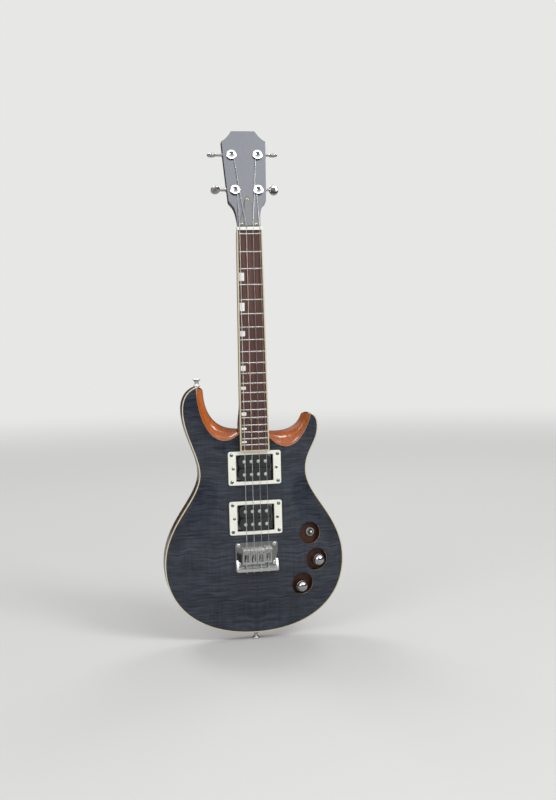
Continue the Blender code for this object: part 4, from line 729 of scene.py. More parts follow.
def drawn_in(distance):
    """The rim path moved inwards, square to its own direction."""
    ahead = np.gradient(RIM_PATH, axis=0)
    ahead /= np.linalg.norm(ahead, axis=1, keepdims=True)
    return RIM_PATH + distance * np.column_stack((-ahead[:, 1], ahead[:, 0]))


def closed_over(distance):
    """The rim path, drawn in and closed past both horns' tips, where the cutaways cut it."""
    path = drawn_in(distance)
    right = path[-1] + (-TIP_ROUNDING * 0.75, -TIP_ROUNDING * 0.25)
    left = path[0] + (TIP_ROUNDING * 1.5, -TIP_ROUNDING)
    shoulder = path[0] + (TIP_ROUNDING * 0.75, -TIP_ROUNDING * 0.25)
    share = np.linspace(0, 1, 40)[:, None]
    return np.vstack((path, right + (left - right) * share, shoulder))


def to_core(points):
    """The nearest points of the box that the face's flat middle is rounded about."""
    half = FLAT_HALF_WIDTH - FLAT_CORNER
    low, high = (-half, -FLAT_BOTTOM + FLAT_CORNER), (half, -FLAT_TOP - FLAT_CORNER)
    return np.clip(points, low, high)


def rim_distance(points):
    """The distance to the nearest of the rim path's straight pieces."""
    start, side = RIM_PATH[:-1], np.diff(RIM_PATH, axis=0)
    offset = points[:, None] - start
    share = np.clip((offset * side).sum(-1) / (side * side).sum(-1), 0, 1)
    return np.linalg.norm(offset - share[..., None] * side, axis=-1).min(1)


def face_out(points):
    """The carved face: from rim to flat by share s of the way, out = rim + carve s s (3 - 2s)."""
    points = np.asarray(points, float)
    from_rim = rim_distance(points)
    from_flat = np.linalg.norm(points - to_core(points), axis=1) - FLAT_CORNER
    share = from_rim / np.maximum(from_rim + np.maximum(from_flat, 0), 1e-9)
    return RIM + CARVE * eased(np.where(from_flat > 0, share, 1.0))


def face_frame(place, shift=(0, 0)):
    """A frame on the carved face, its third axis square to it, moved across it by shift."""
    step = 0.004
    x, y = place
    out = face_out(((x, y), (x + step, y), (x - step, y), (x, y + step), (x, y - step)))
    normal = Vector((out[2] - out[1], out[4] - out[3], 2 * step)).normalized()
    turn = Vector((0, 0, 1)).rotation_difference(normal).to_matrix().to_4x4()
    return FACE_FRAME @ spot(x, y, out[0]) @ turn @ spot(*shift)


def carved_rows(outline, below, rows):
    """Rows of points from an outline in to the flat middle, a set depth below the carved face."""
    core = to_core(outline)
    away = outline - core
    reach = np.maximum(np.linalg.norm(away, axis=1, keepdims=True), FLAT_CORNER)
    inner = core + away * (FLAT_CORNER / reach)
    made = []
    for share in np.linspace(0, 1, rows):
        points = outline + (inner - outline) * share
        out = np.full(len(points), FACE) if share == 1 else face_out(points)
        made.append(np.column_stack((points, out - below)))
    return made


def scoop(edge_curve, rim_curve, side):
    """A cutaway's solid, lofted from horn to neck.

    Each section falls from the veneer's edge along a square-law curve to the lower rim, then runs
    down the wall with a little draft, and closes outside the body.
    """
    edges, rims = cubic(edge_curve, SCOOP_SECTIONS), cubic(rim_curve, SCOOP_SECTIONS)
    past_tip = (edges[0] - edges[1]) * SCOOP_SECTIONS / 32 + (0, TIP_ROUNDING)
    edges, rims = np.vstack((edges[0] + past_tip, edges)), np.vstack((rims[0] + past_tip, rims))
    t = np.append(0, np.linspace(0, 1, SCOOP_SECTIONS + 1))
    along = np.gradient(rims, axis=0)
    along /= np.linalg.norm(along, axis=1, keepdims=True)
    square = side * np.column_stack((-along[:, 1], along[:, 0]))
    toward = np.array(SCOOP_OUTWARD) * (side, 1)
    drop = SCOOP_DROP_ENDS + (SCOOP_DROP - SCOOP_DROP_ENDS) * 4 * t * (1 - t)
    draft = WALL_DRAFT + WALL_DRAFT_TIP * (1 - t) ** 2
    u = np.linspace(0, 1, SCOOP_STEPS + 1)[None, :, None]
    first, middle, last = (1 - u) ** 2, 2 * u * (1 - u), u**2
    bend = edges + SCOOP_BEND * (rims - edges)
    flat = first * edges[:, None] + middle * bend[:, None] + last * rims[:, None]
    top = (face_out(edges) + SCOOP_CLEARANCE)[:, None, None]
    low = (RIM - drop)[:, None, None]
    hollow = np.concatenate((flat, first * top + (middle + last) * low), axis=-1)
    foot = rims + draft[:, None] * square
    clear, bottom = CUTTER_REACH, BACK - CUTTER_REACH
    walls = [level(foot, bottom), level(foot + toward, bottom), level(edges + toward, clear)]
    rows = [level(edges, clear)[:, None], hollow, *(wall[:, None] for wall in walls)]
    return grid(np.concatenate(rows, axis=1), fan=True)


def prism(outline, low, high):
    """An outline carried straight from low to high."""
    return grid((level(outline, low), level(outline, high)))


SIDE_MIDDLE = -(RIM - BINDING_HEIGHT + BACK) / 2
# On the lower bout's side at its widest point, the third axis pointing out of the side
SIDE_FRAME = Matrix(
    ((0, 0, 1, LOWER_BOUT[0]), (1, 0, 0, SIDE_MIDDLE), (0, 1, 0, -LOWER_BOUT[1]), (0, 0, 0, 1))
)
STRAP_FRAMES = {
    "upper": spot(-0.0737, 0.0370, LEFT_TIP[1]),
    "lower": spot(0, 0.0310, -BODY_END, math.pi, "X"),
}


def board_half(below):
    """Half the bound fretboard's width, a distance below the zero fret."""
    return NUT_HALF + (BOARD_END_HALF - NUT_HALF) * np.asarray(below) / BOARD_LENGTH


def fret_at(number):
    """How far below the zero fret a fret lies: scale (1 - 2^(-n / 12))."""
    return SCALE_LENGTH * (1 - 2 ** (-np.asarray(number, float) / 12))


def behind_fret(number):
    """The middle of the space behind a fret, as a distance below the zero fret."""
    return float(fret_at(number) + fret_at(number - 1)) / 2


# Finishes --------------------------------------------------------------------------------------


def operator(operation, reflected=False):
    """A method that adds one Math node; reflected, the other value comes before its own."""

    def method(self, *other):
        values = (*other, self) if reflected else (self, *other)
        return self.nodes.math(operation, *values)

    return method


class Number:
    """A number that varies over a surface; arithmetic on it adds Math nodes to its tree."""

    def __init__(self, nodes, output):
        self.nodes = nodes
        self.output = output

    __add__ = __radd__ = operator("ADD")
    __mul__ = __rmul__ = operator("MULTIPLY")
    __sub__ = operator("SUBTRACT")
    __rsub__ = operator("SUBTRACT", reflected=True)
    __pow__ = operator("POWER")
    __rpow__ = operator("POWER", reflected=True)
    __abs__ = operator("ABSOLUTE")


class Nodes:
    """The node tree of a material or a world, and the shader at its end."""

    def __init__(self, owner, shader):
        owner.use_nodes = True
        self.tree = owner.node_tree
        self.shader = self.tree.nodes[shader]

    def set(self, socket, value):
        """Links or sets one of the shader's sockets."""
        self._feed(self.shader.inputs[socket], value)

    def _feed(self, socket, value):
        value = getattr(value, "output", value)
        if isinstance(value, bpy.types.NodeSocket):
            self.tree.links.new(value, socket)
        else:
            socket.default_value = value

    def node(self, kind, settings, inputs, output=0):
        """Adds a node: its settings first, then each input by name or number; gives one output."""
        made = self.tree.nodes.new(kind)
        for name, value in settings.items():
            if name == "stops":
                ramp = made.color_ramp
                for number, (position, color) in enumerate(value):
                    stop = ramp.elements[number] if number < 2 else ramp.elements.new(position)
                    stop.position = position
                    stop.color = (*color, 1)
            else:
                setattr(made, name, value)
        for name, value in inputs.items():
            self._feed(made.inputs[name], value)
        return made.outputs[output]

    def math(self, operation, *values):
        made = self.node("ShaderNodeMath", {"operation": operation}, dict(enumerate(values)))
        return Number(self, made)

    def place(self, coordinates="Object"):
        """The three parts of a place, each as a number."""
        where = self.node("ShaderNodeTexCoord", {}, {}, coordinates)
        parts = [self.node("ShaderNodeSeparateXYZ", {}, {0: where}, name) for name in "XYZ"]
        return [Number(self, part) for part in parts]

    def ray(self, kind):
        """1 for a ray of this kind, or else 0."""
        return Number(self, self.node("ShaderNodeLightPath", {}, {}, f"Is {kind} Ray"))

    def noise(self, x, y, z, detail, roughness=0.5):
        """Smooth noise between 0 and 1 at a place given in the noise's own cells."""
        where = self.node("ShaderNodeCombineXYZ", {}, {0: x, 1: y, 2: z})
        inputs = {"Vector": where, "Scale": 1.0, "Detail": detail, "Roughness": roughness}
        return Number(self, self.node("ShaderNodeTexNoise", {}, inputs))

    def between(self, value, low, high):
        """0 below low and 1 above high, smooth between."""
        settings = {"interpolation_type": "SMOOTHSTEP"}
        inputs = {"Value": value, "From Min": low, "From Max": high}
        return Number(self, self.node("ShaderNodeMapRange", settings, inputs))

    def ramp(self, value, *stops):
        """Colours read along a ramp at the value's place."""
        return self.node("ShaderNodeValToRGB", {"stops": stops}, {0: value})

    def blend(self, share, first, second):
        """Two colours mixed by share."""
        first, second = [(*c, 1) if isinstance(c, tuple) else c for c in (first, second)]
        return self.node(
            "ShaderNodeMix", {"data_type": "RGBA"}, {0: share, 6: first, 7: second}, 2
        )

    def bump(self, height, strength, distance):
        inputs = {"Strength": strength, "Distance": distance, "Height": height}
        self.set("Normal", self.node("ShaderNodeBump", {}, inputs))


class Finish(Nodes):
    """One material. Constants are set on its shader; what varies comes from nodes."""

    def __init__(self, name, color=(0.8, 0.8, 0.8), **constants):
        self.material = bpy.data.materials.new(name)
        super().__init__(self.material, "Principled BSDF")
        self.set("Base Color", (*color, 1))
        for socket, value in constants.items():
            self.set(socket.replace("_", " ").title().replace("Ior", "IOR"), value)


def shade(color, share):
    return tuple(part * share for part in color)


def flamed_maple(look):
    """Bookmatched figured veneer: light bands lie across the grain and mirror about the joint."""
    constants = {"roughness": 0.36, "specular_ior_level": 0.2, "coat_roughness": 0.04}
    made = Finish("flamed maple", coat_weight=1.0, **constants)
    x, _, z = made.place()
    half = abs(x)
    wander = made.noise(half * 40, 0.0, z * 16, 2)
    bands = made.noise(half * 30, 3.0, z * 380 + wander * 3.4, 2.5, 0.6)
    broad = made.noise(half * 12, 7.0, z * 48 + wander * 3, 2)
    grain = made.noise(half * 1500, 1.0, z * 12, 2)
    figure = made.between(bands * 0.56 + broad * 0.22 + grain * 0.22, 0.30, 0.70)
    dark, light = look.stain_color, look.flame_color
    stain = made.ramp(figure, (0.0, dark), (0.55, shade(light, 0.55)), (1.0, light))
    seam = 1 - made.between(half, 0.0001, 0.0006)
    made.set("Base Color", made.blend(seam * 0.6, stain, shade(dark, 0.4)))
    return made


def mahogany(name, color, gloss=1.0, streaks=0.38):
    """Open-grained wood: long streaks of darker colour and short sunk pores, along the neck."""
    constants = {"roughness": 0.42, "specular_ior_level": 0.25, "coat_roughness": 0.06}
    made = Finish(name, coat_weight=gloss, **constants)
    x, y, z = made.place()
    drift = made.noise(x * 30, y * 30, z * 6, 2)
    streak = made.noise(x * 420 + drift * 8, y * 420, z * 7, 3)
    pore = made.between(made.noise(x * 1900, y * 1900, z * 130, 1), 0.64, 0.72)
    tones = (1 - streaks, 1, 1 + 0.6 * streaks)
    stops = [(share, shade(color, tone)) for share, tone in zip((0.0, 0.5, 1.0), tones)]
    tone = made.ramp(made.between(streak * 0.7 + drift * 0.3, 0.3, 0.7), *stops)
    made.set("Base Color", made.blend(pore * 0.55, tone, shade(color, 0.22)))
    made.bump(pore * -1, 0.15, 0.0002)
    return made


def rosewood(color):
    """Close, slightly open fingerboard wood with dark lines along it."""
    made = Finish("rosewood", roughness=0.5, coat_weight=0.12, coat_roughness=0.3)
    x, y, z = made.place()
    drift = made.noise(x * 55, y * 55, z * 5, 2)
    line = made.noise(x * 620 + drift * 10, y * 400, z * 9, 3)
    pore = made.between(made.noise(x * 2300, y * 900, z * 120, 1), 0.6, 0.7)
    stops = [(share, shade(color, tone)) for share, tone in ((0.0, 0.42), (0.5, 1), (1.0, 1.6))]
    tone = made.ramp(made.between(line * 0.75 + drift * 0.25, 0.3, 0.68), *stops)
    made.set("Base Color", made.blend(pore * 0.6, tone, shade(color, 0.3)))
    made.bump(pore * -1, 0.25, 0.0002)
    return made


def plastic(name, color, roughness, coat):
    """Moulded plastic with the faintest mottling."""
    made = Finish(name, color, roughness=roughness, coat_weight=coat, coat_roughness=0.08)
    x, y, z = made.place()
    cloud = made.noise(x * 90, y * 90, z * 90, 3)
    made.set("Base Color", made.blend(cloud, shade(color, 0.95), shade(color, 1.05)))
    return made


def lacquer(name, color):
    """Dark stained wood or plastic under thick polished lacquer."""
    made = Finish(name, roughness=0.3, coat_weight=1.0, coat_roughness=0.05)
    x, y, z = made.place()
    streak = made.noise(x * 500, y * 500, z * 12, 2)
    made.set("Base Color", made.blend(streak, shade(color, 0.8), shade(color, 1.25)))
    return made


def metal(name, color, roughness, smear=0.08):
    """Plated or bare metal, its gloss broken a little by fine wear."""
    made = Finish(name, color, metallic=1.0)
    x, y, z = made.place()
    wear = made.noise(x * 260, y * 260, z * 260, 4, 0.65)
    made.set("Roughness", made.between(wear, 0.35, 0.8) * smear + roughness)
    return made


def pearl():
    """Shell inlay: pale, with soft bands that shift between warm and cool."""
    made = Finish("pearl", roughness=0.2, coat_weight=0.6, coat_roughness=0.06)
    x, y, z = made.place()
    warp = made.noise(x * 150, y * 150, z * 150, 2)
    band = made.noise(x * 420 + warp * 5, 0.0, z * 300 + warp * 6, 2)
    cool, pale, warm = (0.76, 0.80, 0.84), (0.92, 0.92, 0.89), (0.96, 0.90, 0.88)
    band = made.between(band, 0.3, 0.7)
    made.set("Base Color", made.ramp(band, (0.0, cool), (0.5, pale), (1.0, warm)))
    return made


def wound_steel():
    """Fine wire wound round a core: ridges square to the string, which runs nearly upright."""
    made = Finish("wound string", (0.80, 0.80, 0.78), metallic=1.0, roughness=0.36)
    ridge = made.math("SINE", made.place()[2] * (2 * math.pi / 0.00042))
    made.bump(ridge, 0.5, 0.00006)
    return made


FINISHES = {}


def finish(name):
    """The finishes' materials, made once from the look's colours and shared by every piece."""
    if not FINISHES:
        look = bpy.context.scene.ukulele_look
        FINISHES.update(
            maple=flamed_maple(look),
            # The veneer's cut edges: the maple's own pale colour, lightened further as a painted
            # highlight of the lacquered edge.
            maple_edge=Finish("maple edge", (0.72, 0.62, 0.46), roughness=0.35, coat_weight=0.8),
            head_veneer=lacquer("headstock lacquer", (0.028, 0.042, 0.070)),
            # The sides and back take a far darker mahogany than the cutaways: partly the back's
            # stain, partly painted shade on the same wood.
            mahogany=mahogany("body mahogany", look.body_stain_and_shade_color),
            scooped=mahogany("cutaway mahogany", look.cutaway_color, 1.0, 0.35),
            # The pockets take the cutaways' wood darkened far down, painted shade for the recess.
            pocket=mahogany("pocket mahogany in painted shade", (0.055, 0.020, 0.009), 0.4),
            bare=Finish("bare rout", (0.10, 0.045, 0.02), roughness=0.8),
            neck=mahogany("neck mahogany", look.neck_color, 0.9),
            rosewood=rosewood(look.fretboard_color),
            ivory=plastic("ivory binding", look.binding_color, 0.2, 0.8),
            cream=plastic("cream ring", look.ring_color, 0.3, 0.3),
            nut=plastic("bone nut", (0.90, 0.89, 0.84), 0.35, 0.2),
            black=plastic("pickup black", look.pickup_color, 0.28, 0.2),
            cover=lacquer("cover black", (0.022, 0.030, 0.048)),
            rear=plastic("rear cover black", shade(look.pickup_color, 1.2), 0.5, 0.0),
            coil=Finish("coil tape", (0.006, 0.006, 0.006), roughness=0.7),
            chrome=metal("chrome", look.chrome_color, 0.05, 0.05),
            # The bridge plate's chrome is made dark, a painted dark reflection; its edges and
            # raised parts take the bright nickel as a painted highlight.
            plate=metal("bridge chrome", (0.40, 0.41, 0.41), 0.07, 0.05),
            screw=metal("screw steel", (0.50, 0.50, 0.49), 0.22),
            brass=metal("brass screw", (0.80, 0.66, 0.40), 0.22),
            fret=metal("fret wire", (0.72, 0.71, 0.68), 0.18),
            steel=metal("string steel", (0.80, 0.80, 0.79), 0.30),
            nickel=metal("nickel", (0.94, 0.94, 0.93), 0.42),
            pole=metal("pole steel", (0.92, 0.91, 0.88), 0.46),
            wound=wound_steel(),
            pearl=pearl(),
            # Black for the side dots, and painted shade round the ring's screws.
            dark=Finish("dark dots and painted shade", (0.01, 0.01, 0.01), roughness=0.4),
        )
    return FINISHES[name].material


def tint(name, description, default):
    return FloatVectorProperty(
        name=name, description=description, default=default, subtype="COLOR", size=3, min=0, max=1
    )


def measure(name, description, default, low, high):
    return FloatProperty(
        name=name,
        description=description,
        default=default,
        min=low,
        max=high,
        unit="LENGTH",
        precision=5,
    )


def turning(name, description, degrees):
    return FloatProperty(
        name=name, description=description, default=math.radians(degrees), subtype="ANGLE"
    )


class UkuleleLook(bpy.types.PropertyGroup):
    """Colours of the finishes"""

    stain_color: tint("Stain", "Darkest colour of the top's stain", (0.007, 0.009, 0.016))
    flame_color: tint("Flame", "Lightest colour of the top's figure", (0.052, 0.062, 0.086))
    # Body is far darker than Cutaways: partly the back's stain, partly painted shade on the same
    # mahogany.
    body_stain_and_shade_color: tint("Body", "Mahogany of the sides and the back", (0.080, 0.017, 0.009))
    cutaway_color: tint("Cutaways", "Mahogany inside the scooped cutaways", (0.47, 0.115, 0.014))
    neck_color: tint("Neck", "Mahogany of the neck and headstock", (0.075, 0.020, 0.012))
    fretboard_color: tint("Fretboard", "Middle colour of the fretboard", (0.085, 0.034, 0.026))
    binding_color: tint("Binding", "Plastic round the body and fretboard", (0.66, 0.59, 0.41))
    ring_color: tint("Rings", "Plastic of the pickup rings", (0.86, 0.86, 0.77))
    pickup_color: tint("Black", "Plastic of the coils and the rear cover", (0.030, 0.032, 0.034))
    chrome_color: tint("Chrome", "Tint of the plated hardware", (0.80, 0.80, 0.81))


class UkuleleSizes(bpy.types.PropertyGroup):
    """Sizes of detail that the frame doesn't hold"""

    knurl_count: IntProperty(
        name="Knob ridges", description="Ridges round a knob's skirt", default=54, min=12, max=90
    )
    knurl_depth: measure("Ridge depth", "How deep a knob's ridges are cut", 0.00018, 0, 0.0005)
    inlay_width: measure("Inlay width", "Width of the pearl blocks", 0.0067, 0.002, 0.012)
    edge_rounding: measure("Edge rounding", "Of the bridge's edges", 0.0003, 0.0001, 0.0006)


class UkuleleStudio(bpy.types.PropertyGroup):
    """Camera and light"""

    azimuth: turning("Azimuth", "How far the camera stands to the left of straight ahead", 11)
    elevation: turning("Elevation", "How far the camera stands above level", 3.845)
    roll: turning("Roll", "How far the camera is rolled about its line of sight", -1.3506)
    distance: measure("Distance", "From the camera to the point that it looks at", 1.5758, 0.5, 10)
    backdrop: tint("Backdrop", "Colour of the floor and of what stands behind", (0.80, 0.80, 0.79))
    fill: FloatProperty(
        name="Fill", description="Light that comes from all round", default=0.42, min=0, max=2
    )


# Body ------------------------------------------------------------------------------------------


def scoop_tools(kind):
    """Both cutaways' cutters."""
    sides = ((LEFT_VENEER_EDGE, LEFT_SCOOP_RIM, 1), (RIGHT_VENEER_EDGE, RIGHT_SCOOP_RIM, -1))
    return [mesh_of(scoop(*side), kind, triangles=True) for side in sides]


def front_tools(scooped, rout, pocket):
    """The cutters that go through the front, each with the finish that its cut shows."""
    tools = scoop_tools(scooped)
    for below in PICKUP_PLACES.values():
        width, height = (side + ROUT_CLEARANCE for side in RING_OPENING)
        outline = rounded_box(width, height, RING_CORNER, (0, -below))
        tools.append(mesh_of(prism(outline, ROUT_FLOOR, CUTTER_REACH / 2), rout))
    for place in (SWITCH_AT, VOLUME_AT, TONE_AT):
        # On the body the pocket's cut takes the pocket mahogany, darkened as painted shade.
        recess = disc(POCKET_RADIUS, POCKET_FLOOR, CUTTER_REACH, 72)
        tools.append(mesh_of(recess, pocket, face_frame(place)))
    heel = rectangle(board_half(TENON_END) + SEAM, -TENON_END - SEAM, -MORTISE_TOP)
    tools.append(mesh_of(prism(heel, NECK_FRONT - HEEL_DEPTH - SEAM, CUTTER_REACH), scooped))
    return tools


def rear_tools(shown, bare):
    """The cutters from the back and the sides, with the finish that shows above the joint.

    They are the gap above the joint, the cavity, its cover's ledge, the jack's hole, and a seat
    for each strap button.
    """
    half, high = board_half(TENON_END) - GAP_INSET, -MORTISE_TOP + CUTTER_REACH
    gap = prism(
        rectangle(half, -NECK_JOINT, high), BACK - CUTTER_REACH, NECK_FRONT - HEEL_DEPTH + GAP_RISE
    )
    cavity = prism(cavity_outline(), BACK - 0.01, CAVITY_ROOF)
    ledge = prism(cavity_outline(CAVITY_LEDGE), BACK - 0.011, BACK + REAR_COVER + SEAM)
    seat = JACK_PLATE_RADIUS + SEAM
    hole, deep = JACK_HOLE
    jack = [(0, -deep), (hole, -deep), (hole, -JACK_RECESS), (seat, -JACK_RECESS)]
    jack = turned([*jack, (seat, 0.01), (0, 0.01)], 64)
    strap = disc(STRAP_PROFILE[1][0] + SEAM, -STRAP_SEAT, CUTTER_REACH, 48)
    tools = [mesh_of(gap, shown), mesh_of(cavity, bare), mesh_of(ledge, bare)]
    tools.append(mesh_of(jack, bare, SIDE_FRAME))
    return tools + [mesh_of(strap, bare, matrix) for matrix in STRAP_FRAMES.values()]


class UKULELE_OT_body(bpy.types.Operator):
    """Carve the mahogany body: its slab, cutaways, control pockets, routs and rear cavity"""

    bl_idname = "ukulele.body"
    bl_label = "Mahogany Body"

    def execute(self, context):
        rows = []
        for turn in np.linspace(0, math.pi / 2, 8):
            rim = closed_over(BACK_ROUNDING * (1 - math.sin(turn)))
            rows.append(level(rim, BACK + BACK_ROUNDING * (1 - math.cos(turn))))
        ledge = RIM - BINDING_HEIGHT - SEAM
        inner = closed_over(BINDING_WIDTH + SEAM)
        rim = closed_over(0)
        rows += [level(rim, (BACK + ledge) / 2), level(rim, ledge), level(inner, ledge)]
        rows += carved_rows(inner, FACE_VENEER + SEAM, 8)
        tools = front_tools("scooped", "bare", "pocket") + rear_tools("mahogany", "bare")
        mesh = cut(mesh_of(grid(rows), "mahogany", triangles=True), tools)
        piece("body_wood", mesh, "body", sharp=28)
        return {"FINISHED"}


class UKULELE_OT_top(bpy.types.Operator):
    """Lay the flamed veneer over the carved face, pierced where the face is"""

    bl_idname = "ukulele.top"
    bl_label = "Flamed Top"

    def execute(self, context):
        inner = closed_over(BINDING_WIDTH + SEAM)
        rows = carved_rows(inner, FACE_VENEER, 10)[::-1] + carved_rows(inner, 0.0, 44)
        blank = mesh_of(grid(rows), "maple", triangles=True)
        # Every cut edge takes the pale edge finish, partly a painted highlight.
        mesh = cut(blank, front_tools("maple_edge", "maple_edge", "maple_edge"))
        piece("flamed_top", mesh, "maple_top", sharp=28)
        return {"FINISHED"}


class UKULELE_OT_binding(bpy.types.Operator):
    """Run the ivory binding round the rim, stopped at both cutaways"""

    bl_idname = "ukulele.binding"
    bl_label = "Body Binding"

    def execute(self, context):
        soft, low, high = BINDING_ROUNDING, RIM - BINDING_HEIGHT, RIM + BINDING_PROUD
        section = (
            (0, low),
            (0, high - soft),
            (soft * 0.3, high - soft * 0.3),
            (soft, high),
            (BINDING_WIDTH, high),
            (BINDING_WIDTH, low),
        )
        rows = np.stack([level(drawn_in(inset), height) for inset, height in section], axis=1)
        tools = scoop_tools("ivory") + rear_tools("ivory", "ivory")[-3:]
        mesh = cut(mesh_of(grid(rows), "ivory", triangles=True), tools)
        piece("rim_binding", mesh, "body_binding", sharp=28)
        return {"FINISHED"}


# Neck and headstock ----------------------------------------------------------------------------


def head_side():
    """The headstock's right edge from its foot to its top, as points (half width, along)."""
    curves = []
    for (start, _, leave, steps), (end, arrive, *_) in zip(HEAD_STOPS, HEAD_STOPS[1:]):
        ends = (start, np.add(start, leave), np.add(end, arrive), end)
        curves.append(cubic(ends, steps))
    return chain(*curves)


def neck_rows(half, along, front, depth, squareness):
    """Sections of the neck: flat in front, and |x|^n + |y|^n = 1 behind, n the squareness."""
    half, along, depth, power = (v[:, None] for v in (half, along, depth, 2 / squareness))
    turn = np.linspace(0, math.pi, 65)
    across = half * np.sign(np.cos(turn)) * np.abs(np.cos(turn)) ** power
    out = front - depth * np.abs(np.sin(turn)) ** power
    return np.stack((across, along + 0 * across, out), axis=-1)


class UKULELE_OT_neck(bpy.types.Operator):
    """Shape neck, heel and headstock as one piece of mahogany, and face the headstock"""

    bl_idname = "ukulele.neck"
    bl_label = "Neck and Headstock"

    def execute(self, context):
        heel = np.linspace(TENON_END, HEEL_START, 40)
        below = np.append(heel, np.linspace(HEEL_START, -NUT_REAR, 30)[1:])
        swell = eased((below - HEEL_START) / (HEEL_FULL - HEEL_START))
        share = np.clip(below / HEEL_START, 0, 1)
        depth = NECK_DEPTH_NUT + (NECK_DEPTH_HEEL - NECK_DEPTH_NUT) * share
        depth += (HEEL_DEPTH - depth) * swell
        half = np.where(below < -NUT_FRONT, HEAD_FOOT_HALF, board_half(below))
        square = NECK_SQUARENESS + (HEEL_SQUARENESS - NECK_SQUARENESS) * swell
        shaft = neck_rows(half, -below, NECK_FRONT, depth, square)

        side = head_side()
        ease = eased(side[:, 1] / HEAD_EASING)
        front = -(HEAD_VENEER + SEAM)
        behind = -HEAD_STEP - NECK_FRONT + NECK_DEPTH_NUT
        depth = front + behind * (1 - ease) + HEAD_THICKNESS * ease
        square = NECK_SQUARENESS * (HEAD_SQUARENESS / NECK_SQUARENESS) ** (ease**1.3)
        head = neck_rows(*side.T, front, depth, square)
        rows = np.concatenate((on(FACE_FRAME, shaft), on(HEAD_FRAME, head)))
        hole = disc(BUSHING_RADIUS + SEAM, *POST_HOLE, 48)
        posts = [HEAD_FRAME @ spot(x, y) for x, y, _ in POST_PLACES.values()]
        tools = [mesh_of(hole, "neck", post) for post in posts]
        mesh = cut(mesh_of(grid(rows), "neck", Matrix(), True), tools)
        piece("neck_and_headstock", mesh, "neck truss_rod", sharp=30)

        outline = both_sides(side)
        outline[:, 1] = np.maximum(outline[:, 1], 0.0002)
        face = plate(outline, -HEAD_VENEER, 0, 0.00015)
        show(
            "headstock_face", face, "head_veneer", "headstock_veneer", HEAD_FRAME
        )
        return {"FINISHED"}


class UKULELE_OT_truss_cover(bpy.types.Operator):
    """Screw the bell-shaped cover over the truss rod's end"""

    bl_idname = "ukulele.truss_cover"
    bl_label = "Truss Rod Cover"

    def execute(self, context):
        side = chain(*(cubic(ends, steps) for ends, steps in zip(COVER_CURVES, (24, 16))))
        shells = [plate(both_sides(side, 1), SEAM, COVER_TOP, 0.0004)]
        for number, (x, y) in enumerate(COVER_SCREWS):
            shells.append(screw_head("cover", finish=1).at(x, y, COVER_TOP, number))
        show("truss_cover", shells, "cover brass", "truss_rod_cover", HEAD_FRAME)
        return {"FINISHED"}


class UKULELE_OT_fretboard(bpy.types.Operator):
    """Make the fretboard with its frets, pearl blocks, binding and side dots"""

    bl_idname = "ukulele.fretboard"
    bl_label = "Fretboard"

    def execute(self, context):
        self.board(context.scene.ukulele_sizes.inlay_width)
        self.edging()
        softened("nut", "nut", 0.0002)
        return {"FINISHED"}

    def board(self, width):
        """The board with a half-round bar for each fret and a block behind each marked one."""
        inner = BOARD_BINDING + SEAM
        ends = np.array((BOARD_LENGTH, -NUT_FRONT))
        side = np.column_stack((board_half(ends) - inner, -ends))
        shells = [plate(both_sides(side), -BOARD_THICKNESS, 0, 0.0001)]
        turn = np.linspace(0, math.pi, 11)
        along, out = FRET_HALF_WIDTH * np.cos(turn), FRET_HEIGHT * np.sin(turn)
        slope, low = FRET_END
        for below in fret_at(np.arange(FRET_COUNT + 1)):
            half = board_half(below) - inner
            stations = ((-half, low), (slope - half, 1), (half - slope, 1), (half, low))
            rows = [
                np.column_stack((0 * out + x, along - below, lift * out)) for x, lift in stations
            ]
            shells.append(grid(rows, finish=1))
        for number, height in INLAY_HEIGHTS.items():
            middle = behind_fret(number)
            across = -board_half(middle) + inner + 0.0002 + width / 2
            block = rounded_box(width, height, 0.0003, (across, -middle), 2)
            shells.append(plate(block, -INLAY_DEPTH, INLAY_PROUD, 0.00003, 2, 1))
        kinds = "rosewood fret pearl"
        show("fretboard_with_frets", shells, kinds, "fretboard")

    def edging(self):
        """The binding's U, drawn round both its edges, and the dots in its left side."""
        end = BOARD_LENGTH + SEAM + BOARD_BINDING
        outer = board_half((-NUT_FRONT, end))
        inner = board_half((-NUT_FRONT, end - BOARD_BINDING)) - BOARD_BINDING
        right = np.array(
            (
                (inner[0], NUT_FRONT),
                (inner[1], -end + BOARD_BINDING),
                (outer[1], -end),
                (outer[0], NUT_FRONT),
            )
        )
        left = right * (-1, 1)
        outline = np.vstack((right[:2], left[1::-1], left[:1:-1], right[2:]))
        shells = [plate(outline, -BOARD_THICKNESS, 0, 0.0003)]
        radius, depth = SIDE_DOT
        dot = disc(radius, -0.0002, 0.00003, 24, 1)
        for number, shift in SIDE_DOTS:
            below = behind_fret(number) + shift
            shells.append(dot.at(-board_half(below), -below, -depth, -math.pi / 2, "Y"))
        show("fretboard_edging", shells, "ivory dark", "fretboard_binding")


# Pickups and bridge ----------------------------------------------------------------------------


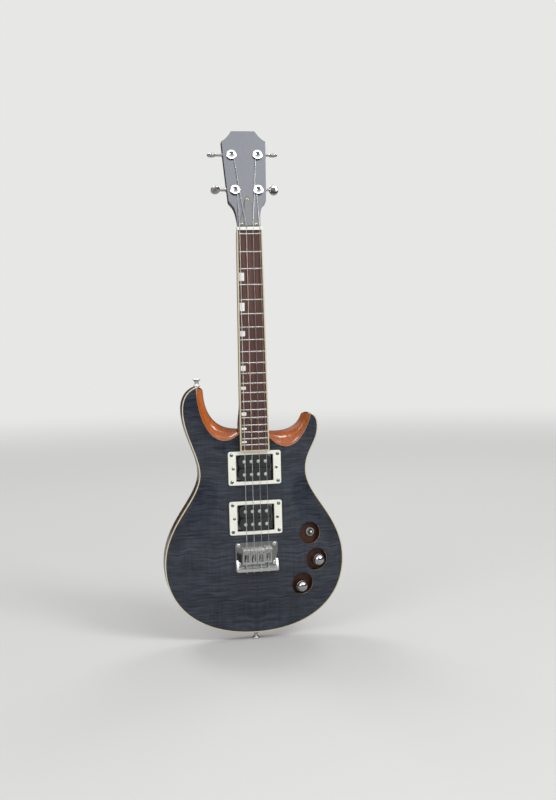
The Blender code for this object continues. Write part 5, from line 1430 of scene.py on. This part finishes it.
class UKULELE_OT_pickups(bpy.types.Operator):
    """Mount both double-coil pickups in their cream rings"""

    bl_idname = "ukulele.pickups"
    bl_label = "Pickups and Rings"

    def execute(self, context):
        for name, below in PICKUP_PLACES.items():
            middle = FACE_FRAME @ spot(0, -below)
            kinds, node = "cream screw dark", f"{name}_pickup_ring"
            show(f"{name}_ring", self.ring(), kinds, node, middle)
            kinds, node = "black coil pole screw", f"{name}_pickup"
            show(f"{name}_coils", self.coils(), kinds, node, middle)
        return {"FINISHED"}

    def ring(self):
        """The ring with four mounting screws and two height screws, each ringed by a dark disc of
        painted shade.
        """
        outer = rounded_box(*RING_SIZE, RING_CORNER)
        inner = rounded_box(*RING_OPENING, RING_CORNER / 3)
        shells = [open_plate(outer, inner, FACE + SEAM, RING_TOP, RING_EDGE)]
        x, y = RING_SCREWS
        corners = [(a, b, "ring") for a in (-x, x) for b in (-y, y)]
        middles = [(-HEIGHT_SCREW, 0, "pickup"), (HEIGHT_SCREW, 0, "pickup")]
        for number, (x, y, kind) in enumerate(corners + middles):
            # A dark disc just proud of the ring, painted shade for the screw's countersink.
            wider, deep = SCREW_SHADE_CUP
            cup = disc(SCREWS[kind][0] + wider, 0.00002, -deep, finish=2)
            shells.append(cup.at(x, y, RING_TOP))
            shells.append(screw_head(kind, finish=1).at(x, y, RING_TOP, 0.7 * number))
        return shells

    def coils(self):
        """Two coils over a base, each with four slotted poles and two small holes."""
        top = RING_TOP + BOBBIN_PROUD
        shells = [
            plate(rounded_box(*box), top - low, top - high, 0.0002, kind)
            for *box, low, high, kind in PICKUP_BLOCKS
        ]
        length, width = BOBBIN_SIZE
        thick, soft = BOBBIN_CAP
        hole, deep = BOBBIN_HOLE
        for row in (-1, 1):
            y = row * ROW_SPACING / 2
            coil = rounded_box(length, width, width * 0.42, (0, y), 16)
            shells.append(plate(coil, top - thick, top, soft))
            for number in range(len(STRING_RADII)):
                place = ((number - 1.5) * POLE_PITCH, y, top + POLE_PROUD - SCREWS["pole"][1])
                turn = 0.9 * number + 0.5 * row
                shells.append(screw_head("pole", 1, 2).at(*place, turn))
                shells.append(disc(SCREWS["pole"][0], -0.0006, 0, finish=2).at(*place))
            for x in (-POLE_PITCH, POLE_PITCH):
                shells.append(disc(hole, -deep, 0.00003, 20, 1).at(x, y, top))
        return shells


class UKULELE_OT_bridge(bpy.types.Operator):
    """Finish the bridge plate, its four saddles and their screws"""

    bl_idname = "ukulele.bridge"
    bl_label = "Bridge"

    def execute(self, context):
        edge = context.scene.ukulele_sizes.edge_rounding
        # Darkened chrome on the plate's flats as a painted dark reflection, bright nickel on its
        # edges and raised parts as a painted highlight.
        softened("bridge_plate", "plate nickel", edge * 1.5)
        shells = [
            screw_head("bridge").at(x, -below, PLATE_TOP, 0.6 * number)
            for number, (x, below) in enumerate(BRIDGE_SCREWS)
        ]
        show("bridge_mounting_screws", shells, "nickel")
        for index in range(len(SADDLE_STEPS)):
            self.saddle(index, edge * 0.8)
        return {"FINISHED"}

    def saddle(self, index, edge):
        """A saddle, its two height screws, and the screw that sets its place along the string."""
        name, across = f"saddle_{index + 1}", (index - 1.5) * SADDLE_PITCH
        carriage = f"{name}_carriage"
        softened(name, "nickel", edge, carriage)
        apart, behind, below = HEIGHT_BOLT_PLACE
        place = (-saddle_crest(index) - behind, CREST_HEIGHT - below)
        bolt = turned(HEIGHT_BOLT, 24)
        shells = [bolt.at(across + side * apart, *place) for side in (-1, 1)]
        show(f"{name}_height_screws", shells, "screw", body=carriage)
        node = f"saddle_screw_{index + 1}"
        low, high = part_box(node)
        matrix = FACE_FRAME @ spot(across, low.z, -(low.y + high.y) / 2, -math.pi / 2, "X")
        shells = self.length_screw(high.z - low.z)
        show(f"{name}_length_screw", shells, "screw", node, matrix)

    def length_screw(self, length):
        """The screw through the rear wall: r = r0 + d sin(2 pi h / pitch), and a slotted head."""
        head, radius, depth, pitch = LENGTH_SCREW
        height = np.linspace(head, length, 12 * int(length / pitch))
        thread = radius - depth + depth * np.sin(2 * math.pi * height / pitch)
        profile = np.vstack(((0, head), np.column_stack((thread, height)), (0, length)))
        cap = screw_head("saddle").at(0, 0, 0.0005, math.pi, "X")
        return [turned(profile, 20), disc(SCREWS["saddle"][0], 0.0004, head), cap]


def saddle_crest(index):
    """How far below the zero fret a saddle's crest lies."""
    return SCALE_LENGTH + CREST_BACK - SADDLE_STEPS[index]


class UKULELE_OT_strings(bpy.types.Operator):
    """String it: each string runs from the bridge's wall over saddle and nut and round its post"""

    bl_idname = "ukulele.strings"
    bl_label = "Strings"

    def execute(self, context):
        for index, radius in enumerate(STRING_RADII):
            shell, kind = tube(self.path(index, radius), radius, 12), STRING_KINDS[index]
            node = f"string_{index + 1}"
            show(f"{node}_wire", shell, kind, node, Matrix())
        return {"FINISHED"}

    def path(self, index, radius):
        """Straight runs from stop to stop, then most of a turn on a circle round the post."""
        across, at_nut = (index - 1.5) * SADDLE_PITCH, (index - 1.5) * NUT_PITCH
        along = -saddle_crest(index)
        over_crest = CREST_HEIGHT + SEAM + radius
        over_fret = FRET_HEIGHT + SEAM + radius
        hole = PLATE_TOP + STRING_HOLE_HEIGHT
        wall = BRIDGE_WALL - BRIDGE_END
        stops = [
            (across, -BRIDGE_END - STRING_TAIL, hole),
            (across, wall, hole),
            (across, wall + STRING_BENDS[0], hole),
            (across, along - STRING_BENDS[1], over_crest),
            (across, along, over_crest),
            (at_nut, 0, over_fret),
            (at_nut, NUT_REAR, over_fret),
        ]
        post = STRING_POSTS[index]
        post_x, post_y, side = POST_PLACES[post]
        leave = HEAD_FRAME.inverted() @ FACE_FRAME @ Vector(stops[-1])
        wrap = POST_WAIST + SEAM + radius
        gap_x, gap_y = leave.x - post_x, leave.y - post_y
        start = math.atan2(gap_y, gap_x) - side * math.acos(wrap / math.hypot(gap_x, gap_y))
        rise = WRAP_RISE + radius
        height = rise if post.startswith("lower") else POST_CAP_FOOT - rise
        turn = start - side * np.linspace(0, WRAP_TURN, 60)
        circle = np.column_stack((post_x + wrap * np.cos(turn), post_y + wrap * np.sin(turn)))
        return np.vstack((on(FACE_FRAME, stops), on(HEAD_FRAME, level(circle, height))))


# Tuners ----------------------------------------------------------------------------------------


class UKULELE_OT_tuners(bpy.types.Operator):
    """Fit four sealed tuners: housing, bushing, capped post and oval button each"""

    bl_idname = "ukulele.tuners"
    bl_label = "Tuners"

    def execute(self, context):
        for name, (across, along, side) in POST_PLACES.items():
            post = HEAD_FRAME @ spot(across, along)
            worm = spot(0, WORM_OFFSET, -WORM_DEPTH, side * math.pi / 2, "Y")
            turn = spot(turn=math.radians(BUTTON_TURNS[name]))
            parts = (
                ("post", self.post(), post, f"post_{name}"),
                ("bushing", self.bushing(), post, "instrument"),
                ("housing", self.housing(worm), post, "instrument"),
                ("button", self.button(), post @ worm @ turn, f"button_{name}"),
            )
            for part, shells, matrix, body in parts:
                node = f"tuner_{part}_{name}"
                kinds = "chrome screw" if part == "housing" else "chrome"
                show(f"{node}_plated", shells, kinds, node, matrix, body)
        return {"FINISHED"}

    def post(self):
        """A slim post under a wide cap, bored down its middle."""
        foot, crown = POST_CAP_FOOT, POST_CAP_FOOT + POST_CAP_HEIGHT
        floor = foot - POST_BORE
        profile = [
            (0, -POST_BOTTOM),
            (POST_RADIUS, -POST_BOTTOM),
            (POST_RADIUS, -0.0002),
            (POST_WAIST, 0.0001),
            (POST_WAIST, foot),
            (POST_CAP_RADIUS, foot),
            (POST_CAP_RADIUS, foot + 0.0002),
            (POST_CAP_RADIUS - 0.0008, foot + 0.00045),
            (0.0050, crown),
            (0.0044, crown),
            (0.0018, crown - 0.0016),
            (0.0015, floor),
            (0, floor),
        ]
        return turned(rounded(profile, 0.00012, 2), 72)

    def bushing(self):
        bore, rim, low = POST_RADIUS + SEAM, BUSHING_RADIUS, -HEAD_THICKNESS + 0.0005
        profile = [(bore, low), (rim, low), (rim, -0.0003), (rim - 0.0003, 0), (bore, 0)]
        return turned(profile, 48, True)

    def housing(self, worm):
        """A rounded case behind the headstock, a neck for the worm's shaft, and its screw."""
        wide, long, deep = HOUSING_SIZE
        top = -HEAD_THICKNESS - SEAM
        case = rounded_box(wide, long, HOUSING_CORNER, (0, HOUSING_SHIFT))
        low, high = wide / 2 - 0.001, wide / 2 + 0.0001
        bore, rim = WORM_NECK
        collar = turned(((bore, low), (rim, low), (rim, high), (bore, high)), 32, True)
        screw = screw_head("tuner", 1, 1).at(0, 0, top - deep, math.pi, "X")
        return [plate(case, top - deep, top, HOUSING_EDGE, steps=5), collar.placed(worm), screw]

    def button(self):
        """A shaft with its collar, and an oval pillow whose spread is the root of sin a."""
        inner, collar = -HOUSING_SIZE[0] / 2 + 0.0030, HOUSING_SIZE[0] / 2 + SEAM
        stem, foot = BUTTON_STEM_RADIUS, BUTTON_REACH - BUTTON_HALF_LENGTH
        ledge, slope, neck = BUTTON_COLLAR
        profile = [
            (0, inner),
            (stem, inner),
            (stem, collar),
            (stem + ledge, collar),
            (stem + ledge, collar + slope),
            (stem + 0.0002, collar + neck),
            (stem, foot + 0.0015),
            (0, foot + 0.0030),
        ]
        rise = np.linspace(0, math.pi, 33)[:, None]
        turn = np.linspace(0, 2 * math.pi, 72, endpoint=False)
        spread = np.sqrt(np.sin(rise))
        across = BUTTON_HALF_WIDTH * spread * np.cos(turn)
        thick = -BUTTON_HALF_THICKNESS * np.cos(rise) + 0 * turn
        reach = BUTTON_REACH + BUTTON_HALF_LENGTH * spread * np.sin(turn)
        oval = grid(np.stack((across, thick, reach), axis=-1))
        return [turned(rounded(profile, 0.0004), 40), oval]


# Controls and fittings -------------------------------------------------------------------------


class UKULELE_OT_controls(bpy.types.Operator):
    """Fit the volume and tone knobs and the three-way switch in their pockets"""

    bl_idname = "ukulele.controls"
    bl_label = "Controls"

    def execute(self, context):
        knob = self.knob(context.scene.ukulele_sizes)
        for name, at in (("volume", (VOLUME_AT, VOLUME_SHIFT)), ("tone", (TONE_AT, TONE_SHIFT))):
            node, body = f"{name}_knob", f"{name}_control"
            show(f"{node}_plated", knob, "chrome", node, face_frame(*at), body, 40)
            self.coat(f"{name}_shaft")
            self.coat(f"{name}_pot")
        here = face_frame(SWITCH_AT, SWITCH_SHIFT)
        show("switch_ring_nut", self.nut(), "nickel", "switch_nut", here)
        pivot = here @ spot(0, 0, -PIVOT_DEPTH)
        show("switch_bat", self.lever(), "nickel", "switch_lever", pivot, "switch_throw")
        self.coat("switch_body")
        return {"FINISHED"}

    def coat(self, node):
        """Gives a CAD node that shows as it is the screws' finish."""
        mesh = frame["nodes"][node].data
        mesh.materials.clear()
        mesh.materials.append(finish("screw"))

    def knob(self, sizes):
        """A dome on a ridged skirt."""
        low, rim, edge = POCKET_FLOOR + KNOB_LIFT, KNOB_SKIRT_RADIUS, KNOB_EDGE
        skirt, shoulder = low + KNOB_SKIRT_HEIGHT, low + KNOB_SKIRT_HEIGHT + KNOB_SHOULDER
        rise = np.linspace(0, math.pi / 2, 20)
        dome = (low + KNOB_HEIGHT - shoulder) * np.sin(rise)
        top = np.column_stack((KNOB_RADIUS * np.cos(rise), shoulder + dome))
        wall = (
            (SWITCH_NUT_RADIUS, low),
            (rim - edge, low),
            (rim, low + edge),
            (rim, skirt - edge),
            (rim - edge, skirt),
        )
        profile = np.vstack((wall, top, (0, low + KNOB_HEIGHT)))
        shares, count = (0, 0, 1, 1, 0.4) + (0,) * (len(top) + 1), sizes.knurl_count
        groove = ridges(shares, count, sizes.knurl_depth, 8 * count)
        return turned(profile, 8 * count, groove=groove)

    def nut(self):
        """A ring nut with a finely ridged rim."""
        inner, floor = BARREL_RADIUS + SEAM, POCKET_FLOOR + SEAM
        rim, top, edge = SWITCH_NUT_RADIUS, floor + SWITCH_NUT_HEIGHT, 0.0004
        profile = ((inner, floor), (rim, floor), (rim, top - edge), (rim - edge, top), (inner, top))
        return turned(profile, 288, True, groove=ridges((0, 1, 1, 0, 0), 36, 0.00015, 288))

    def lever(self):
        """A ball, a thin stalk and a bulbous tip."""
        rise = np.linspace(0, math.pi * 0.86, 16)
        ball = LEVER_BALL * np.column_stack((np.sin(rise), -np.cos(rise)))
        share = np.linspace(0, 1, 24)
        start, over = LEVER_SWELL
        radius = LEVER_RADIUS + (LEVER_TIP_RADIUS - LEVER_RADIUS) * eased((share - start) / over)
        radius *= np.sqrt(1 - np.clip((share - LEVER_DOME) / (1 - LEVER_DOME), 0, 1) ** 2)
        height = LEVER_BALL + (LEVER_LENGTH - LEVER_BALL) * share
        return turned(np.vstack((ball, np.column_stack((radius, height)))), 40)


class UKULELE_OT_fittings(bpy.types.Operator):
    """Fit the rear cover, the output jack and both strap buttons"""

    bl_idname = "ukulele.fittings"
    bl_label = "Rear Cover, Jack and Strap Buttons"

    def execute(self, context):
        self.rear_cover()
        self.jack()
        foot = SEAM - STRAP_SEAT
        profile = np.array(STRAP_PROFILE) + (0, foot)
        cap = screw_head("strap", finish=1).at(0, 0, foot + STRAP_HEIGHT - 0.0007)
        shells = [turned(rounded(profile, 0.0005), 56), cap]
        for name, matrix in STRAP_FRAMES.items():
            title, node = f"{name}_strap_button", f"strap_button_{name}"
            show(title, shells, "nickel screw", node, matrix)
        return {"FINISHED"}

    def rear_cover(self):
        """The oval cover in its ledge, held by six screws."""
        outline = cavity_outline(CAVITY_LEDGE - SEAM)
        shells = [plate(outline, BACK, BACK + REAR_COVER, 0.0004)]
        half_x, half_y = (half + REAR_SCREW_REACH for half in CAVITY_HALF)
        for turn in np.radians(REAR_SCREW_TURNS):
            x = CAVITY_CENTRE[0] + half_x * math.cos(turn)
            y = CAVITY_CENTRE[1] + half_y * math.sin(turn)
            shells.append(screw_head("rear", finish=1).at(x, y, BACK, math.pi, "X"))
        show("rear_cover", shells, "rear screw", "control_cavity_cover")

    def jack(self):
        """A round plate with two screws, and the socket with its hexagonal nut."""
        low, thread = -JACK_RECESS + SEAM, JACK_THREAD
        thick, soft = JACK_PLATE
        rim, hole, high = JACK_PLATE_RADIUS, thread + SEAM, low + thick
        top, inner = high + JACK_PROUD, thread - 0.0002
        profile = ((hole, low), (rim, low), (rim, high - soft), (rim - soft, high), (hole, high))
        shells = [turned(profile, 96, True)]
        for y in (-JACK_SCREW, JACK_SCREW):
            shells.append(screw_head("jack", finish=1).at(0, y, high))
        here, chrome = SIDE_FRAME, "chrome_hardware"
        show("jack_disc", shells, "chrome screw", "jack_plate", here)
        wide, deep = JACK_BODY
        body = [
            (0, low - deep),
            (wide, low - deep),
            (wide, low - 0.0024),
            (thread, low - 0.0024),
            (thread, top - 0.0003),
            (thread - 0.0003, top),
            (JACK_BORE, top),
            (JACK_BORE, low - deep + 0.0010),
            (0, low - deep + 0.0010),
        ]
        side, tall, chamfer = JACK_NUT
        nut = [(inner, high), (side, high), (side, high + tall - chamfer)]
        nut += [(side - chamfer, high + tall), (inner, high + tall)]
        shells = [turned(body, 64), turned(nut, 6, True)]
        show("jack_socket_and_nut", shells, "chrome", "output_jack", here)


# Stage -----------------------------------------------------------------------------------------


class UKULELE_OT_stage(bpy.types.Operator):
    """Set the floor, the light and the camera"""

    bl_idname = "ukulele.stage"
    bl_label = "Stage"

    def execute(self, context):
        studio = context.scene.ukulele_studio
        self.floor(tuple(studio.backdrop))
        self.world(tuple(studio.backdrop), (studio.fill,) * 3)
        for lamp in LAMPS:
            self.lamp(*lamp)
        self.camera(context, studio)
        context.scene.view_settings.view_transform = "Standard"
        return {"FINISHED"}

    def floor(self, color):
        """A disc whose far part fades into the backdrop's own light, so that no horizon shows.

        Mirrors see it darker than it is lit, which keeps chrome and lacquer deep.
        """
        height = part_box("strap_button_lower")[0].z
        made = Finish("floor", shade(color, 0.9), roughness=0.9, specular_ior_level=0.1)
        x, y, _ = made.place()
        mirrored = made.ray("Glossy")
        far = made.between((x * x + y * y) ** 0.5, *FLOOR_FADE)
        share = made.math("MAXIMUM", far, mirrored * 0.6)
        tone = made.blend(mirrored, color, shade(color, 0.07))
        glow = made.node("ShaderNodeEmission", {}, {"Color": tone})
        inputs = {0: share, 1: made.shader.outputs[0], 2: glow}
        mixed = made.node("ShaderNodeMixShader", {}, inputs)
        made.tree.links.new(mixed, made.tree.nodes["Material Output"].inputs["Surface"])
        mesh = mesh_of(disc(FLOOR_RADIUS, height - 0.02, height, 96), "", Matrix())
        mesh.materials.append(made.material)
        add_object("floor", mesh)

    def world(self, color, fill):
        """Pale backdrop for what sees it straight or mirrored, and soft even light for the rest."""
        world = bpy.data.worlds.new("studio")
        bpy.context.scene.world = world
        made = Nodes(world, "Background")
        seen = made.math("MAXIMUM", made.ray("Camera"), made.ray("Transmission"))
        stops = [(height, (tone, tone, tone * 1.02)) for height, tone in SKY_TONES]
        sky = made.ramp(made.place("Generated")[2], *stops)
        soft = made.blend(made.ray("Glossy"), fill, sky)
        made.set("Color", made.blend(seen, soft, color))

    def lamp(self, name, place, size, power):
        light = bpy.data.lights.new(name, "AREA")
        light.shape = "SQUARE"
        light.size = size
        light.energy = power
        lamp = add_object(name, light)
        lamp.location = place
        lamp.rotation_euler = (LAMP_AIM - lamp.location).to_track_quat("-Z", "Y").to_euler()

    def camera(self, context, studio):
        a, e, r = studio.azimuth, studio.elevation, studio.roll
        away = Vector((-math.sin(a) * math.cos(e), -math.cos(a) * math.cos(e), math.sin(e)))
        right = (-away).cross(Vector((0, 0, 1))).normalized()
        up = right.cross(-away)
        rolled_right = math.cos(r) * right + math.sin(r) * up
        rolled_up = -math.sin(r) * right + math.cos(r) * up
        data = bpy.data.cameras.new("camera")
        data.sensor_fit = "HORIZONTAL"
        data.sensor_width = CAMERA_SENSOR
        data.lens = CAMERA_LENS
        camera = add_object("camera", data)
        turn = Matrix((rolled_right, rolled_up, away)).transposed().to_4x4()
        camera.matrix_world = Matrix.Translation(CAMERA_AIM + studio.distance * away) @ turn
        context.scene.camera = camera


STEPS = (
    UKULELE_OT_body,
    UKULELE_OT_top,
    UKULELE_OT_binding,
    UKULELE_OT_neck,
    UKULELE_OT_truss_cover,
    UKULELE_OT_fretboard,
    UKULELE_OT_pickups,
    UKULELE_OT_bridge,
    UKULELE_OT_strings,
    UKULELE_OT_tuners,
    UKULELE_OT_controls,
    UKULELE_OT_fittings,
    UKULELE_OT_stage,
)
GROUPS = {
    "ukulele_look": UkuleleLook,
    "ukulele_sizes": UkuleleSizes,
    "ukulele_studio": UkuleleStudio,
}


class UKULELE_PT_panel(bpy.types.Panel):
    """Lists the pieces and the sizes and colours that they are made with"""

    bl_label = "Electric Tenor Ukulele"
    bl_idname = "UKULELE_PT_panel"
    bl_space_type = "VIEW_3D"
    bl_region_type = "UI"
    bl_category = "Ukulele"

    def draw(self, context):
        for name, kind in GROUPS.items():
            box = self.layout.box()
            for value in kind.__annotations__:
                box.prop(getattr(context.scene, name), value)
        for step in STEPS:
            self.layout.operator(step.bl_idname)


CLASSES = (*GROUPS.values(), *STEPS, UKULELE_PT_panel)


def register():
    for kind in CLASSES:
        bpy.utils.register_class(kind)
    for name, kind in GROUPS.items():
        setattr(bpy.types.Scene, name, PointerProperty(type=kind))


def unregister():
    for name in GROUPS:
        delattr(bpy.types.Scene, name)
    for kind in reversed(CLASSES):
        bpy.utils.unregister_class(kind)


def main():
    register()
    for step in STEPS:
        group, name = step.bl_idname.split(".")
        getattr(getattr(bpy.ops, group), name)()


if __name__ == "__main__":
    main()
